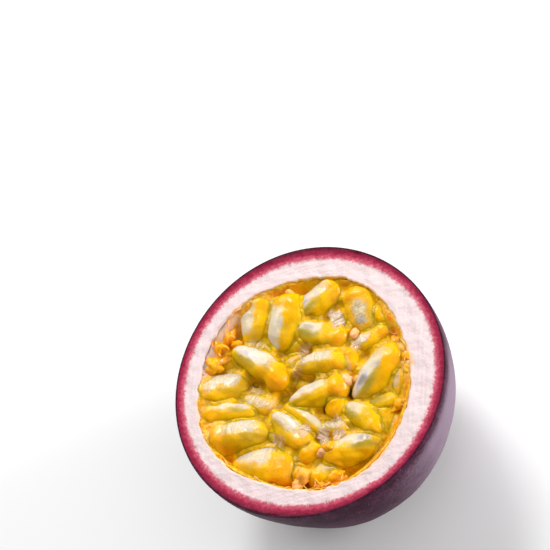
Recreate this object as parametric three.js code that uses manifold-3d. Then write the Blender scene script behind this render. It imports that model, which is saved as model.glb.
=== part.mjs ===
// Half of a purple passion fruit, cut across and lying on its skin with the cut face up.
// Two solids: the rind, a cup of skin and pith, and the pulp, a bed of juice with seed sacs heaped in it.
// Millimetres, +Z up. The origin is under the middle of the cut face, on the small flat it rests on.
import * as THREE from "three";
import { mergeVertices } from "three/addons/utils/BufferGeometryUtils.js";
import Module from "manifold-3d";

const wasm = await Module();
wasm.setup();

// ---- Driving dimensions ----
const CUT_RADIUS = 27; // middle of the cut face to the outside of the skin
const DEPTH = 30.9; // cut face to the tip of the full curve, before the flat is taken off
const REST_RADIUS = 5; // the flat that the fruit rests on
const MOUTH_RADIUS = 21.3; // the cavity's mean radius at the cut face
const FLOOR_WALL = 5; // skin and pith under the cavity
const CLEARANCE = 0.3; // between the rind and the pulp
const JUICE_DROP = 3.9; // cut face down to the bed between the sacs
const SAC_FLATNESS = 0.84; // a sac's thickness over its width
const SAC_TAPER = 0.34; // how much narrower a sac is at its seed end than at its juice end
const HIGHEST_SAC = 2; // no sac stands further than this over the cut face

// Unevenness of an outline: [waves round it, height of a wave in mm, phase in degrees].
const SKIN_WAVES = [
  [2, 0.16, 80],
  [3, 0.12, 200],
];
const MOUTH_WAVES = [
  [1, 1.08, 156],
  [2, 0.37, 177],
  [3, 0.39, 69],
  [4, 0.17, 4],
  [5, 0.21, 132],
];

// Relief of the bed between the sacs: [waves per mm along x, along y, height in mm].
const BED_WAVES = [
  [0.16, 0.07, 0.35],
  [-0.06, 0.19, 0.35],
  [0.21, -0.17, 0.2],
];

// The sacs that show, as [x, y, heading, length, width, crown]. x and y are the sac's middle, heading is the way
// its juice end points in degrees from +X, and crown is how far its top stands over the cut face.
const SACS = [
  // far side, left to right
  [-13.0, 13.5, 157, 10.0, 6.3, 0.1],
  [-8.9, 17.2, 110, 7.5, 5.0, -1.6],
  [-4.5, 10.6, -78, 14.0, 5.3, 0.7],
  [-2.1, 14.6, -75, 9.0, 4.2, -1.2],
  [1.0, 19.7, 40, 9.2, 6.3, 0.0],
  [4.6, 15.3, 35, 11.0, 6.6, 0.8],
  [2.3, 11.5, -60, 8.5, 5.4, -1.3],
  [12.1, 12.9, -10, 8.8, 6.1, 0.1],
  [7.9, 7.1, -60, 10.5, 4.8, 0.3],
  [12.0, 6.3, 80, 6.4, 3.8, -1.6],
  [16.4, 5.7, 85, 9.6, 5.6, 0.1],
  // middle
  [-15.2, 7.8, 137, 10.6, 4.5, 0.1],
  [-17.0, 3.2, 141, 12.0, 6.2, 0.5],
  [-9.4, 5.0, -65, 8.0, 4.0, -1.0],
  [-11.8, -1.2, -70, 7.0, 3.8, -1.3],
  [4.5, 1.9, -42, 10.8, 4.4, 0.6],
  [8.7, -1.7, 65, 5.0, 3.9, -0.1],
  [0.2, -2.3, -27, 12.0, 5.3, 1.0],
  [-0.4, 6.6, 20, 6.5, 4.2, -1.7],
  [14.2, -1.0, -12, 8.8, 4.0, -0.4],
  [18.3, 1.8, 100, 6.0, 3.6, -1.6],
  // near side, left to right
  [-16.2, -4.9, -52, 12.3, 6.5, 0.2],
  [-13.2, -11.0, -70, 5.0, 4.2, -1.0],
  [-11.5, -5.4, -85, 6.6, 3.8, -1.5],
  [-8.9, -3.4, -86, 10.2, 5.0, 0.4],
  [-5.3, -3.6, 100, 9.6, 4.2, -0.3],
  [-8.9, -10.2, 170, 4.9, 4.1, 0.0],
  [-9.3, -15.6, 160, 7.6, 4.6, -0.7],
  [-2.5, -15.8, 153, 12.2, 6.3, 0.4],
  [-1.9, -10.0, -50, 6.6, 4.2, -0.9],
  [0.3, -6.9, 60, 5.0, 4.4, 0.0],
  [2.9, -12.2, -80, 10.8, 5.2, 0.0],
  [5.8, -16.0, 60, 7.4, 4.6, -1.0],
  [7.8, -12.2, -35, 8.6, 5.4, -1.0],
  [12.7, -12.6, 35, 6.4, 3.8, -1.0],
  [10.8, -6.8, 10, 13.0, 6.7, 0.7],
];

// Sides and bands of the faceted surfaces.
const RIND_SIDES = 64;
const SKIN_BANDS = 12;
const WALL_BANDS = 9;
const ROOM_SIDES = 48;
const BED_SIDES = 24;
const BED_BANDS = 9;
const SAC_SIDES = 8;
const SAC_BANDS = 6;

// ---- Worked out from those ----
const REST_TILT = Math.acos(REST_RADIUS / CUT_RADIUS);
const CUT_HEIGHT = DEPTH * Math.sin(REST_TILT); // the cut face over the flat
const CAVITY_DEPTH = CUT_HEIGHT - FLOOR_WALL;
const QUARTER_TURN = Math.PI / 2;

const waves = (list, angle) =>
  list.reduce((sum, [count, height, phase]) => {
    return sum + height * Math.cos(count * angle - THREE.MathUtils.degToRad(phase));
  }, 0);

// A point of the skin. tilt is 0 at the cut face and grows towards the underside.
const skinPoint = (angle, tilt) => {
  const r = (CUT_RADIUS + waves(SKIN_WAVES, angle)) * Math.cos(tilt);
  const z = tilt === REST_TILT ? 0 : CUT_HEIGHT - DEPTH * Math.sin(tilt);
  return new THREE.Vector3(r * Math.cos(angle), r * Math.sin(angle), z);
};

// A point of the cavity's wall, or of the surface that lies inset from it.
const wallPoint = (angle, tilt, inset = 0) => {
  const r = (MOUTH_RADIUS + waves(MOUTH_WAVES, angle) - inset) * Math.cos(tilt);
  const z = CUT_HEIGHT - (CAVITY_DEPTH - inset) * Math.sin(tilt);
  return new THREE.Vector3(r * Math.cos(angle), r * Math.sin(angle), z);
};

const bedHeight = (x, y) =>
  BED_WAVES.reduce((sum, [alongX, alongY, height]) => {
    return sum + height * Math.sin(2 * Math.PI * (alongX * x + alongY * y));
  }, CUT_HEIGHT - JUICE_DROP);

const ring = (sides, pointAt) =>
  Array.from({ length: sides }, (_, i) => pointAt((2 * Math.PI * i) / sides));

const steps = (count, from, to) =>
  Array.from({ length: count + 1 }, (_, i) => from + ((to - from) * i) / count);

// One closed surface through a pole, a stack of rings and a second pole.
function closedSkin(firstPole, rings, lastPole) {
  const sides = rings[0].length;
  const points = [firstPole, ...rings.flat(), lastPole];
  const last = points.length - 1;
  const at = (level, i) => 1 + level * sides + (i % sides);
  const faces = [];
  for (let i = 0; i < sides; i++) {
    faces.push(0, at(0, i + 1), at(0, i));
    for (let level = 0; level < rings.length - 1; level++) {
      faces.push(at(level, i), at(level, i + 1), at(level + 1, i));
      faces.push(at(level, i + 1), at(level + 1, i + 1), at(level + 1, i));
    }
    faces.push(last, at(rings.length - 1, i), at(rings.length - 1, i + 1));
  }
  const geometry = new THREE.BufferGeometry().setFromPoints(points);
  geometry.setIndex(faces);
  return geometry;
}

function solidOf(geometry) {
  const merged = mergeVertices(geometry, 1e-4);
  return new wasm.Manifold(
    new wasm.Mesh({
      numProp: 3,
      vertProperties: merged.getAttribute("position").array,
      triVerts: new Uint32Array(merged.index.array),
    }),
  );
}

function geometryOf(solid) {
  const { vertProperties, triVerts } = solid.getMesh();
  const geometry = new THREE.BufferGeometry();
  geometry.setAttribute("position", new THREE.BufferAttribute(vertProperties, 3));
  geometry.setIndex(new THREE.BufferAttribute(triVerts, 1));
  geometry.computeVertexNormals();
  return geometry;
}

// ---- Rind: out from the flat, up the skin, over the cut face and down the cavity ----
function rindGeometry() {
  const skin = steps(SKIN_BANDS, REST_TILT, 0).map((tilt) =>
    ring(RIND_SIDES, (angle) => skinPoint(angle, tilt)),
  );
  const wall = steps(WALL_BANDS, 0, QUARTER_TURN).slice(0, -1).map((tilt) =>
    ring(RIND_SIDES, (angle) => wallPoint(angle, tilt)),
  );
  const underside = new THREE.Vector3(0, 0, 0);
  return closedSkin(underside, [...skin, ...wall], wallPoint(0, QUARTER_TURN));
}

// ---- Pulp: a bed of juice with the sacs joined to it, cut to the cavity ----
function bedGeometry() {
  const top = steps(BED_BANDS, CUT_RADIUS, 0).slice(0, -1).map((r) =>
    ring(BED_SIDES, (angle) => {
      const [x, y] = [r * Math.cos(angle), r * Math.sin(angle)];
      return new THREE.Vector3(x, y, bedHeight(x, y));
    }),
  );
  const foot = top[0].map((point) => point.clone().setZ(0));
  const middle = new THREE.Vector3(0, 0, bedHeight(0, 0));
  return closedSkin(new THREE.Vector3(), [foot, ...top], middle);
}

// A sac lies along its own X axis, blunt at the juice end (+X) and slimmer round its seed.
function sacGeometry(length, width) {
  const rings = steps(SAC_BANDS, -1, 1).slice(1, -1).map((share) => {
    const turn = QUARTER_TURN * share;
    const half = (width / 2) * Math.cos(turn) ** 0.8 * (1 + (SAC_TAPER / 2) * Math.sin(turn));
    return ring(SAC_SIDES, (angle) => {
      const y = half * Math.cos(angle);
      const z = half * SAC_FLATNESS * Math.sin(angle);
      return new THREE.Vector3((length / 2) * Math.sin(turn), y, z);
    });
  });
  const end = new THREE.Vector3(length / 2, 0, 0);
  return closedSkin(end.clone().negate(), rings, end);
}

function placedSac([x, y, heading, length, width, crown]) {
  const geometry = sacGeometry(length, width);
  geometry.rotateZ(THREE.MathUtils.degToRad(heading));
  geometry.translate(x, y, CUT_HEIGHT + crown - (width / 2) * SAC_FLATNESS);
  return geometry;
}

// The room the pulp may take: the cavity less the clearance, carried on straight up over the cut face.
function roomGeometry() {
  const wall = steps(WALL_BANDS, QUARTER_TURN, 0).slice(1).map((tilt) =>
    ring(ROOM_SIDES, (angle) => wallPoint(angle, tilt, CLEARANCE)),
  );
  const lid = ring(ROOM_SIDES, (angle) => {
    const point = wallPoint(angle, 0, CLEARANCE);
    point.z += HIGHEST_SAC;
    return point;
  });
  const lowest = wallPoint(0, QUARTER_TURN, CLEARANCE);
  const highest = new THREE.Vector3(0, 0, CUT_HEIGHT + HIGHEST_SAC);
  return closedSkin(lowest, [...wall, lid], highest);
}

function pulpGeometry() {
  const heap = SACS.reduce(
    (sum, sac) => sum.add(solidOf(placedSac(sac))),
    solidOf(bedGeometry()),
  );
  return geometryOf(heap.intersect(solidOf(roomGeometry())));
}

function node(name, geometry, look) {
  const mesh = new THREE.Mesh(geometry, new THREE.MeshStandardMaterial(look));
  mesh.name = name;
  return mesh;
}

const half = new THREE.Group();
half.name = "passion_fruit_half";
half.add(node("rind", rindGeometry(), { color: 0x4a2038, roughness: 0.4, metalness: 0 }));
half.add(node("pulp", pulpGeometry(), { color: 0xeda60c, roughness: 0.15, metalness: 0 }));

export default half;
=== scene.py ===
"""Half a purple passion fruit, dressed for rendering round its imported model.

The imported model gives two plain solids, the rind and the pulp. This file stands finished pieces in
their place: a thin skin and a cup of pith for the rind, and for the pulp a bed of juice, two layers of
seed sacs, the seeds in them, loose beads of juice, scraps of film and the fibres along the wall.
Everything is in metres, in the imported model's frame: +Z is up, and the cut face is level.
"""
import math
from typing import NamedTuple

import bpy
import numpy as np
from bpy.props import FloatProperty, FloatVectorProperty, IntProperty, PointerProperty
from mathutils import Matrix, Vector
from mathutils.bvhtree import BVHTree


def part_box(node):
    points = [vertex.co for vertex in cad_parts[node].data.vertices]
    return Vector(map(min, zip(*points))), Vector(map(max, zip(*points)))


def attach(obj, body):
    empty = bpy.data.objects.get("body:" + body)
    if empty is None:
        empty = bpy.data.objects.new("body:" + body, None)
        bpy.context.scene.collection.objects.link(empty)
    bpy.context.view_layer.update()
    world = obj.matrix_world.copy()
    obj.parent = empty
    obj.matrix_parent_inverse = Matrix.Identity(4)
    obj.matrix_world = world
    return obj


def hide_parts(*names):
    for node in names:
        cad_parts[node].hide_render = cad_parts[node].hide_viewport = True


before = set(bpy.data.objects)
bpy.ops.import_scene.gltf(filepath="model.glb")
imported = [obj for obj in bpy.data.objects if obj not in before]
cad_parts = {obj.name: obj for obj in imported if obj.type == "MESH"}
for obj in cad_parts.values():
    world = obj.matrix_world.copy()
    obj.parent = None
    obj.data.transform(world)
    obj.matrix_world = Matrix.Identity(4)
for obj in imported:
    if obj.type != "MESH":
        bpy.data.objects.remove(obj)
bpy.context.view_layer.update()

bl_info = {
    "name": "Passion Fruit Half",
    "version": (1, 0, 0),
    "blender": (4, 5, 0),
    "location": "View3D > Sidebar > Fruit",
    "description": "Builds half a passion fruit, piece by piece, round its packed model",
    "category": "Object",
}

MM = 0.001
TURN = 2 * math.pi
CUT_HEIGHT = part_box("rind")[1].z

# ---- Where things lie ----

# Outlines round the fruit: waves round it, height of a wave in mm, phase in degrees.

SKIN_WAVES = [(2, 0.16, 80), (3, 0.12, 200)]
MOUTH_WAVES = [(1, 1.08, 156), (2, 0.37, 177), (3, 0.39, 69), (4, 0.17, 4), (5, 0.21, 132)]
# Swells and hollows of the skin's curve: (bearing, degrees down from the cut, width in degrees, height in mm)
SKIN_SWELLS = [(-88, 32, 34, 0.60), (-115, 31, 16, 0.40), (-150, 20, 18, -0.35)]
CRIMSON_WAVES = [(1, 0.06, -60), (2, 0.10, -110), (3, 0.08, 74), (4, 0.10, -12)]


class Sac(NamedTuple):
    """One seed sac, in mm and degrees. heading is the way its juice end points, crown how far its top
    stands over the cut face and lobe how far the juice end swells off as a lobe of its own. pale
    is how whitish the skin is where it lies tight on the seed, pale membrane with a painted highlight on
    the flank towards the light, spread how far that reaches over the top, middle and run where it lies
    along the sac and how far it runs from there, as shares of half the length, grey how dark the seed
    shows under it, crackle how wrinkled it is, and hue runs from -1 for olive to 1 for orange."""

    x: float
    y: float
    heading: float
    length: float
    width: float
    crown: float
    lobe: float
    pale: float
    spread: float
    middle: float
    run: float
    grey: float
    crackle: float
    hue: float


SACS = [
    # far side, left to right
    Sac(-13.6, 12.8, 146, 12.0, 7.4, 0.1, 0.5, 1.0, 0.75, -0.1, 0.75, 0.25, 0.6, 0.2),
    Sac(-9.2, 16.8, 110, 7.5, 5.0, -1.6, 0.2, 0.0, 0.5, -0.28, 0.66, 0.0, 0.6, 0.8),
    Sac(-4.8, 10.2, -78, 14.0, 5.5, 0.7, 0.9, 0.95, 0.75, -0.35, 0.8, 0.5, 0.1, 0.0),
    Sac(-2.6, 13.6, -75, 9.0, 4.2, -1.2, 0.2, 0.1, 0.5, -0.28, 0.66, 0.1, 0.8, -0.8),
    Sac(0.3, 18.1, 40, 11.6, 7.3, 0.0, 0.3, 0.9, 0.6, 0.15, 0.7, 0.1, 0.1, 0.1),
    Sac(4.3, 13.6, 36, 11.8, 7.2, 0.8, 0.3, 1.0, 0.5, -0.3, 0.8, 0.05, 0.0, 0.1),
    Sac(1.9, 10.8, -60, 8.5, 5.4, -1.3, 0.2, 0.0, 0.5, -0.28, 0.66, 0.1, 0.2, -0.7),
    Sac(11.6, 12.4, -6, 10.4, 6.7, 0.2, 0.2, 1.0, 0.65, -0.2, 0.95, 0.6, 0.2, 0.0),
    Sac(7.6, 6.5, -60, 11.4, 5.7, 0.3, 0.8, 0.8, 0.75, -0.5, 0.55, 0.85, 0.3, -0.3),
    Sac(11.7, 5.9, 80, 6.4, 3.8, -1.6, 0.2, 0.9, 1.0, 0.0, 0.9, 0.1, 1.0, -0.2),
    Sac(16.6, 4.4, 67, 11.2, 7.3, 0.3, 0.4, 0.9, 0.72, -0.15, 0.48, 0.3, 1.0, 0.3),
    # middle
    Sac(-15.5, 7.4, 137, 11.4, 5.0, 0.1, 0.6, 0.8, 0.4, 0.0, 0.95, 0.6, 0.2, 0.2),
    Sac(-16.7, 2.5, 141, 13.4, 7.2, 0.5, 0.7, 1.0, 0.85, 0.1, 0.75, 0.3, 0.7, 0.1),
    Sac(-9.7, 4.6, -65, 8.0, 4.0, -1.0, 0.2, 0.7, 1.0, 0.0, 0.9, 0.1, 1.0, 0.0),
    Sac(-12.1, -1.6, -70, 7.0, 3.8, -1.3, 0.2, 0.1, 0.5, -0.28, 0.66, 0.2, 0.3, -0.7),
    Sac(4.2, 1.3, -42, 11.0, 4.9, 0.6, 0.3, 1.0, 0.8, -0.3, 0.75, 0.1, 0.8, -0.1),
    Sac(8.4, -2.1, 65, 5.0, 3.9, -0.1, 0.2, 0.3, 0.4, -0.28, 0.66, 0.0, 0.0, 0.8),
    Sac(-0.2, -2.9, -27, 12.3, 5.8, 1.0, 0.9, 1.0, 0.6, -0.32, 0.75, 0.1, 0.1, 0.0),
    Sac(-0.8, 6.1, 20, 6.5, 4.2, -1.7, 0.2, 0.4, 0.8, 0.0, 0.9, 0.1, 1.0, -0.2),
    Sac(14.0, -1.4, -12, 8.8, 4.0, -0.4, 0.4, 0.5, 0.8, -0.65, 0.5, 0.1, 0.5, 0.1),
    Sac(18.6, 0.4, 100, 6.6, 4.6, -0.3, 0.0, 0.0, 0.5, -0.28, 0.66, 0.0, 0.1, 0.8),
    # near side, left to right
    Sac(-17.1, -6.1, -52, 14.0, 8.0, 0.2, 0.5, 0.9, 0.55, -0.38, 0.62, 0.1, 0.5, 0.4),
    Sac(-13.2, -11.0, -70, 5.0, 4.2, -1.0, 0.0, 0.2, 0.5, -0.28, 0.66, 0.0, 0.3, 0.8),
    Sac(-11.8, -5.8, -85, 6.6, 3.8, -1.5, 0.2, 0.1, 0.5, -0.28, 0.66, 0.4, 0.6, -0.7),
    Sac(-8.8, -4.5, -86, 11.0, 5.3, 0.4, 0.3, 0.9, 0.75, -0.25, 0.95, 0.1, 0.5, -0.1),
    Sac(-5.4, -4.1, 100, 9.8, 4.2, -0.3, 0.3, 0.9, 0.5, -0.1, 1.0, 0.1, 0.1, -0.1),
    Sac(-8.9, -10.8, 170, 5.0, 4.2, 0.0, 0.0, 0.2, 0.3, -0.28, 0.66, 0.0, 0.0, 0.9),
    Sac(-9.3, -15.9, 160, 7.6, 4.6, -0.7, 0.3, 0.4, 0.45, -0.28, 0.66, 0.5, 0.2, 0.2),
    Sac(-2.5, -16.0, 153, 12.2, 6.5, 0.4, 0.4, 0.9, 0.5, -0.05, 0.65, 0.8, 0.3, 0.1),
    Sac(-2.1, -10.3, -50, 6.6, 4.2, -0.9, 0.2, 0.8, 1.0, 0.0, 0.9, 0.2, 1.0, 0.0),
    Sac(0.4, -7.3, 60, 5.0, 4.4, 0.0, 0.0, 0.0, 0.3, -0.28, 0.66, 0.0, 0.0, 0.9),
    Sac(2.7, -12.6, -80, 10.8, 5.3, 0.0, 0.2, 0.6, 0.65, -0.62, 0.55, 0.7, 0.1, -0.3),
    Sac(5.8, -16.0, 60, 7.4, 4.6, -1.0, 0.2, 0.0, 0.5, -0.28, 0.66, 0.1, 0.2, 0.2),
    Sac(7.8, -12.9, -35, 8.6, 5.4, -1.0, 0.2, 0.2, 0.4, -0.4, 0.5, 0.6, 0.3, -0.2),
    Sac(12.9, -12.4, 40, 6.6, 3.8, -0.4, 0.2, 0.6, 0.5, 0.1, 0.7, 0.0, 0.6, 0.8),
    Sac(10.7, -7.7, 10, 13.8, 7.1, 0.7, 0.1, 1.0, 0.6, -0.15, 0.95, 0.9, 0.1, 0.3),
]

# The way the sacs' taut, flattened tops face, and the way towards the light from there: on that flank
# lies their whitish window, pale membrane with a painted highlight.
FACING = np.array([0.13, 0.28, 0.95])
LIT_SIDE = np.array([0.17, 0.80, 0.47])


class Bead(NamedTuple):
    """A small loose drop of juice sac: its middle and diameter in mm, hue from 0 orange to 1 peach."""

    x: float
    y: float
    z: float
    diameter: float
    hue: float


BEADS = [
    Bead(12.4, 1.5, -1.2, 1.7, 0.7), Bead(5.4, -4.9, -0.6, 2.0, 0.9), Bead(-5.5, -13.1, -0.3, 2.1, 0.1),
    Bead(-7.0, -12.7, -0.7, 1.8, 0.9), Bead(19.3, -2.6, -1.4, 2.0, 0.3), Bead(16.6, -10.1, -0.9, 2.2, 0.1),
    Bead(15.5, -12.0, -1.0, 2.2, 0.2), Bead(16.9, -7.6, -1.2, 2.4, 0.2), Bead(8.4, 17.6, -1.5, 1.8, 0.4),
    Bead(-11.6, 17.0, -1.4, 2.6, 0.1), Bead(-14.6, -14.0, -1.4, 2.4, 0.5), Bead(-12.5, -13.6, -1.0, 2.8, 0.3),
    Bead(-5.4, 17.4, -1.7, 2.0, 0.1), Bead(13.9, -15.0, -1.2, 2.0, 0.3), Bead(10.6, 4.2, -2.0, 2.6, 0.3),
    Bead(9.7, -15.9, -1.6, 2.4, 0.1), Bead(6.9, -5.9, -1.6, 1.6, 0.6),
    Bead(16.2, -11.2, -0.8, 1.5, 1.0),
]


class Film(NamedTuple):
    """A scrap of bare, crumpled membrane that lies over the sacs: place in mm, heading in degrees, size
    in mm, and tone from 0 for white to 1 for peach."""

    x: float
    y: float
    heading: float
    length: float
    width: float
    tone: float


FILMS = [
    Film(11.8, 6.6, 75, 5.2, 3.4, 0.1), Film(12.6, -0.6, -20, 4.4, 2.6, 0.1),
    Film(11.0, -0.4, 60, 3.2, 2.4, 0.6), Film(-4.5, -9.4, 20, 3.6, 3.0, 0.3),
    Film(-5.3, -11.4, 100, 3.4, 2.2, 0.5), Film(-1.2, -9.9, -40, 3.2, 3.2, 0.6),
    Film(-2.5, -12.1, -60, 3.0, 3.0, 0.3), Film(-8.6, 7.2, -60, 4.0, 2.6, 1.0),
    Film(-8.2, 2.6, -60, 4.2, 3.0, 0.9), Film(-10.3, 5.6, 100, 3.4, 2.6, 0.8),
    Film(0.7, 4.3, 20, 4.6, 3.4, 0.8), Film(3.1, 6.4, 10, 4.4, 3.0, 0.7),
    Film(-2.7, 14.1, -70, 4.6, 2.8, 1.0), Film(-11.4, -4.4, -70, 4.2, 2.8, 0.6),
    Film(17.5, -8.8, -70, 3.0, 2.2, 0.9), Film(-6.6, -6.8, 40, 3.4, 2.2, 0.4),
]

# Where the wall is frayed: first and last bearing in degrees, strands, crumbs, and their reach inward in mm.
FRAYED = [
    (92, 106, 5, 2, 1.6), (106, 130, 9, 3, 2.6), (62, 80, 6, 0, 0.8), (-34, 0, 18, 6, 1.6),
    (-48, -26, 20, 6, 2.4), (-78, -48, 12, 1, 1.2), (-132, -112, 16, 3, 2.0), (-160, -132, 10, 1, 1.0),
    (165, 185, 6, 0, 0.8),
]

# Where juice has soaked into the cut face: bearing and width in degrees, reach in mm.
SOAKED = [(-32, 10, 1.0), (-92, 14, 0.7), (-128, 16, 0.3), (112, 28, 0.35)]

# Gaps between the sacs, lowered and darkened with painted shade: place, radius and depth in mm.
PITS = [(4.5, -7.1, 1.2, 2.0), (-1.3, -6.0, 0.8, 0.8), (3.9, -5.4, 0.8, 1.0), (-8.2, 8.8, 0.8, 0.6)]

# Curls of torn pulp along the wall: place in mm, radius and thickness in mm, degrees it turns, hue.
# Each starts at the same bearing from its middle.
CURL_START = -23
CURLS = [(-8.2, 17.7, -0.9, 1.0, 0.55, 230, -0.4), (-5.6, 18.4, -0.7, 0.7, 0.32, 200, 0.2)]

# Stretches of the wall: a bearing in degrees, and the degrees from it at which each one sets in, is
# whole, fades again and ends.
JUICE_HOLLOW = (0, 0, 12, 54, 66)  # the juice dips
JUICE_TORN = (0, 86, 98, 126, 140)  # the juice is a low ledge of torn pulp
JUICE_NARROW = (-153, -50, -36, 36, 50)  # the sacs lie close to the wall
JUICE_FLUSH = (-24, -34, -20, 20, 34)  # the juice creeps nearly up to the cut
LIP_TORN = (0, 92, 104, 134, 144)  # the lip is stained less
LIP_AMBER = (0, -6, 4, 66, 76)  # the stain on the lip is amber, not peach

# The lavender patch of the skin, waxy bloom and painted sheen from the side light: bearing of its
# middle and its width, in degrees.
SHEEN_BEARING, SHEEN_WIDTH = -53, 34

# Places along a sac, as shares of half its length: the waist before the juice lobe, where the lobe is
# widest, and the middle of the seed.
WAIST, LOBE, SEED = 0.36, 0.74, -0.26

# The layer of sacs underneath, in mm: the spacing of its grid, how far a sac strays from it, and how
# far out it reaches.
UNDER_STEP, UNDER_STRAY, UNDER_REACH = 6.6, 0.9, 17.2

# A seed's largest half-sizes in mm, and as shares of the sac's length, width and width; and the length
# in mm under which a sac holds no seed.
SEED_HALF, SEED_SHARE, SEEDLESS = (2.8, 1.75, 1.1), (0.27, 0.34, 0.2), 6

# How finely the surfaces are cut: rings or bands of each stretch, and sides of a ring.
SKIN_RINGS, LINING_RINGS, EDGE_RINGS = 110, 20, 7
PITH_RINGS, FACE_RINGS, WALL_RINGS = 40, 66, 46
BED_RINGS, JUICE_RINGS, JUICE_SIDES = 24, 130, 400
UNDER_BANDS, UNDER_SIDES = 28, 30
SEED_BANDS, SEED_SIDES = 14, 18
BLOB_BANDS, BLOB_SIDES = 14, 22
FILM_ROWS, FILM_COLUMNS = 56, 22
STRAND_RINGS, STRAND_SIDES = 14, 8
CURL_RINGS, CURL_SIDES = 40, 12

# ---- What a user would change ----


class FruitSizes(bpy.types.PropertyGroup):
    """Sizes of the fruit and how finely its surfaces are cut."""

    cut_radius: FloatProperty(
        name="Cut radius", description="Middle of the cut face to the outside of the skin",
        default=27 * MM, unit="LENGTH")
    depth: FloatProperty(
        name="Depth", description="Cut face to the tip of the skin's full curve",
        default=30.9 * MM, unit="LENGTH")
    rest_radius: FloatProperty(
        name="Rest radius", description="The flat under the lowest point", default=5 * MM, unit="LENGTH")
    mouth_radius: FloatProperty(
        name="Mouth radius", description="Mean radius of the cavity at the cut face",
        default=21.3 * MM, unit="LENGTH")
    crimson_radius: FloatProperty(
        name="Crimson radius", description="Mean radius at which the crimson layer gives way to pith",
        default=25.15 * MM, unit="LENGTH")
    peel: FloatProperty(
        name="Peel", description="Thickness of the skin itself", default=0.3 * MM, unit="LENGTH")
    floor_wall: FloatProperty(
        name="Floor wall", description="Skin and pith under the cavity", default=5 * MM, unit="LENGTH")
    lip: FloatProperty(
        name="Lip", description="Rounding of the pith where the cavity opens",
        default=0.45 * MM, unit="LENGTH")
    juice_drop: FloatProperty(
        name="Juice drop", description="Cut face down to the juice between the sacs",
        default=3.5 * MM, unit="LENGTH")
    bridge: FloatProperty(
        name="Bridge", description="Radius of the hollow in which juice bridges two sacs",
        default=1.2 * MM, unit="LENGTH")
    sac_flatness: FloatProperty(
        name="Sac flatness", description="A sac's thickness over its width", default=0.84)
    rind_sides: IntProperty(name="Rind sides", description="Facets round the rind", default=480)
    sac_sides: IntProperty(name="Sac sides", description="Facets round a sac that shows", default=44)
    seed: IntProperty(name="Seed", description="Start of every random draw", default=11)


class FruitColours(bpy.types.PropertyGroup):
    """Base colours, as linear red, green and blue."""

    skin: FloatVectorProperty(
        name="Skin", description="Dark purple of the skin", subtype="COLOR", default=(0.034, 0.004, 0.017))
    bloom: FloatVectorProperty(
        name="Bloom", description="Paler purple that mottles the skin", subtype="COLOR",
        default=(0.095, 0.022, 0.055))
    # Wax and sheen: lavender waxy bloom with a painted sheen, laid on the side of the skin that faces the
    # side light.
    wax_and_sheen: FloatVectorProperty(
        name="Wax", description="Lavender bloom on one side of the skin", subtype="COLOR",
        default=(0.27, 0.195, 0.26))
    speckle: FloatVectorProperty(
        name="Speckle", description="Fine pale dots of the skin", subtype="COLOR", default=(0.30, 0.15, 0.20))
    crimson: FloatVectorProperty(
        name="Crimson", description="Layer under the skin", subtype="COLOR", default=(0.31, 0.010, 0.048))
    rose: FloatVectorProperty(
        name="Rose", description="Where the crimson fades into the pith", subtype="COLOR",
        default=(0.55, 0.085, 0.14))
    maroon: FloatVectorProperty(
        name="Maroon", description="The crimson where it meets the skin", subtype="COLOR",
        default=(0.085, 0.007, 0.017))
    pith: FloatVectorProperty(
        name="Pith", description="Pinkish white of the cut", subtype="COLOR", default=(0.755, 0.63, 0.625))
    blush: FloatVectorProperty(
        name="Blush", description="Pink mottling of the pith", subtype="COLOR", default=(0.745, 0.595, 0.60))
    amber: FloatVectorProperty(
        name="Amber", description="Juice-stained wall and bed", subtype="COLOR", default=(0.95, 0.50, 0.004))
    juice: FloatVectorProperty(
        name="Juice", description="Yellow of a full sac", subtype="COLOR", default=(0.88, 0.51, 0.001))
    orange: FloatVectorProperty(
        name="Orange", description="Deeper orange of the juice ends", subtype="COLOR",
        default=(0.94, 0.40, 0.001))
    # Olive: thicker juice and painted shade together, laid on the lower sides of each sac.
    olive: FloatVectorProperty(
        name="Olive", description="Thick juice, low on a sac", subtype="COLOR", default=(0.47, 0.315, 0.002))
    gap: FloatVectorProperty(
        name="Gap", description="Juice and slack membrane between the sacs", subtype="COLOR",
        default=(0.54, 0.315, 0.002))
    shadow: FloatVectorProperty(
        name="Shadow", description="A seed seen through the juice", subtype="COLOR",
        default=(0.34, 0.27, 0.04))
    # Cream: the whitish windows on the sacs, pale membrane with a painted highlight on the flank towards the
    # light.
    cream_highlight: FloatVectorProperty(
        name="Cream", description="Taut membrane over a seed", subtype="COLOR", default=(0.665, 0.57, 0.42))
    lavender: FloatVectorProperty(
        name="Lavender", description="Membrane with the seed close under it", subtype="COLOR",
        default=(0.58, 0.52, 0.525))
    film: FloatVectorProperty(
        name="Film", description="Bare membrane", subtype="COLOR", default=(0.88, 0.72, 0.50))
    fibre: FloatVectorProperty(
        name="Fibre", description="Fibres along the wall", subtype="COLOR", default=(0.92, 0.50, 0.24))
    seed: FloatVectorProperty(
        name="Seed", description="The seed itself", subtype="COLOR", default=(0.030, 0.020, 0.008))


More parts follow.
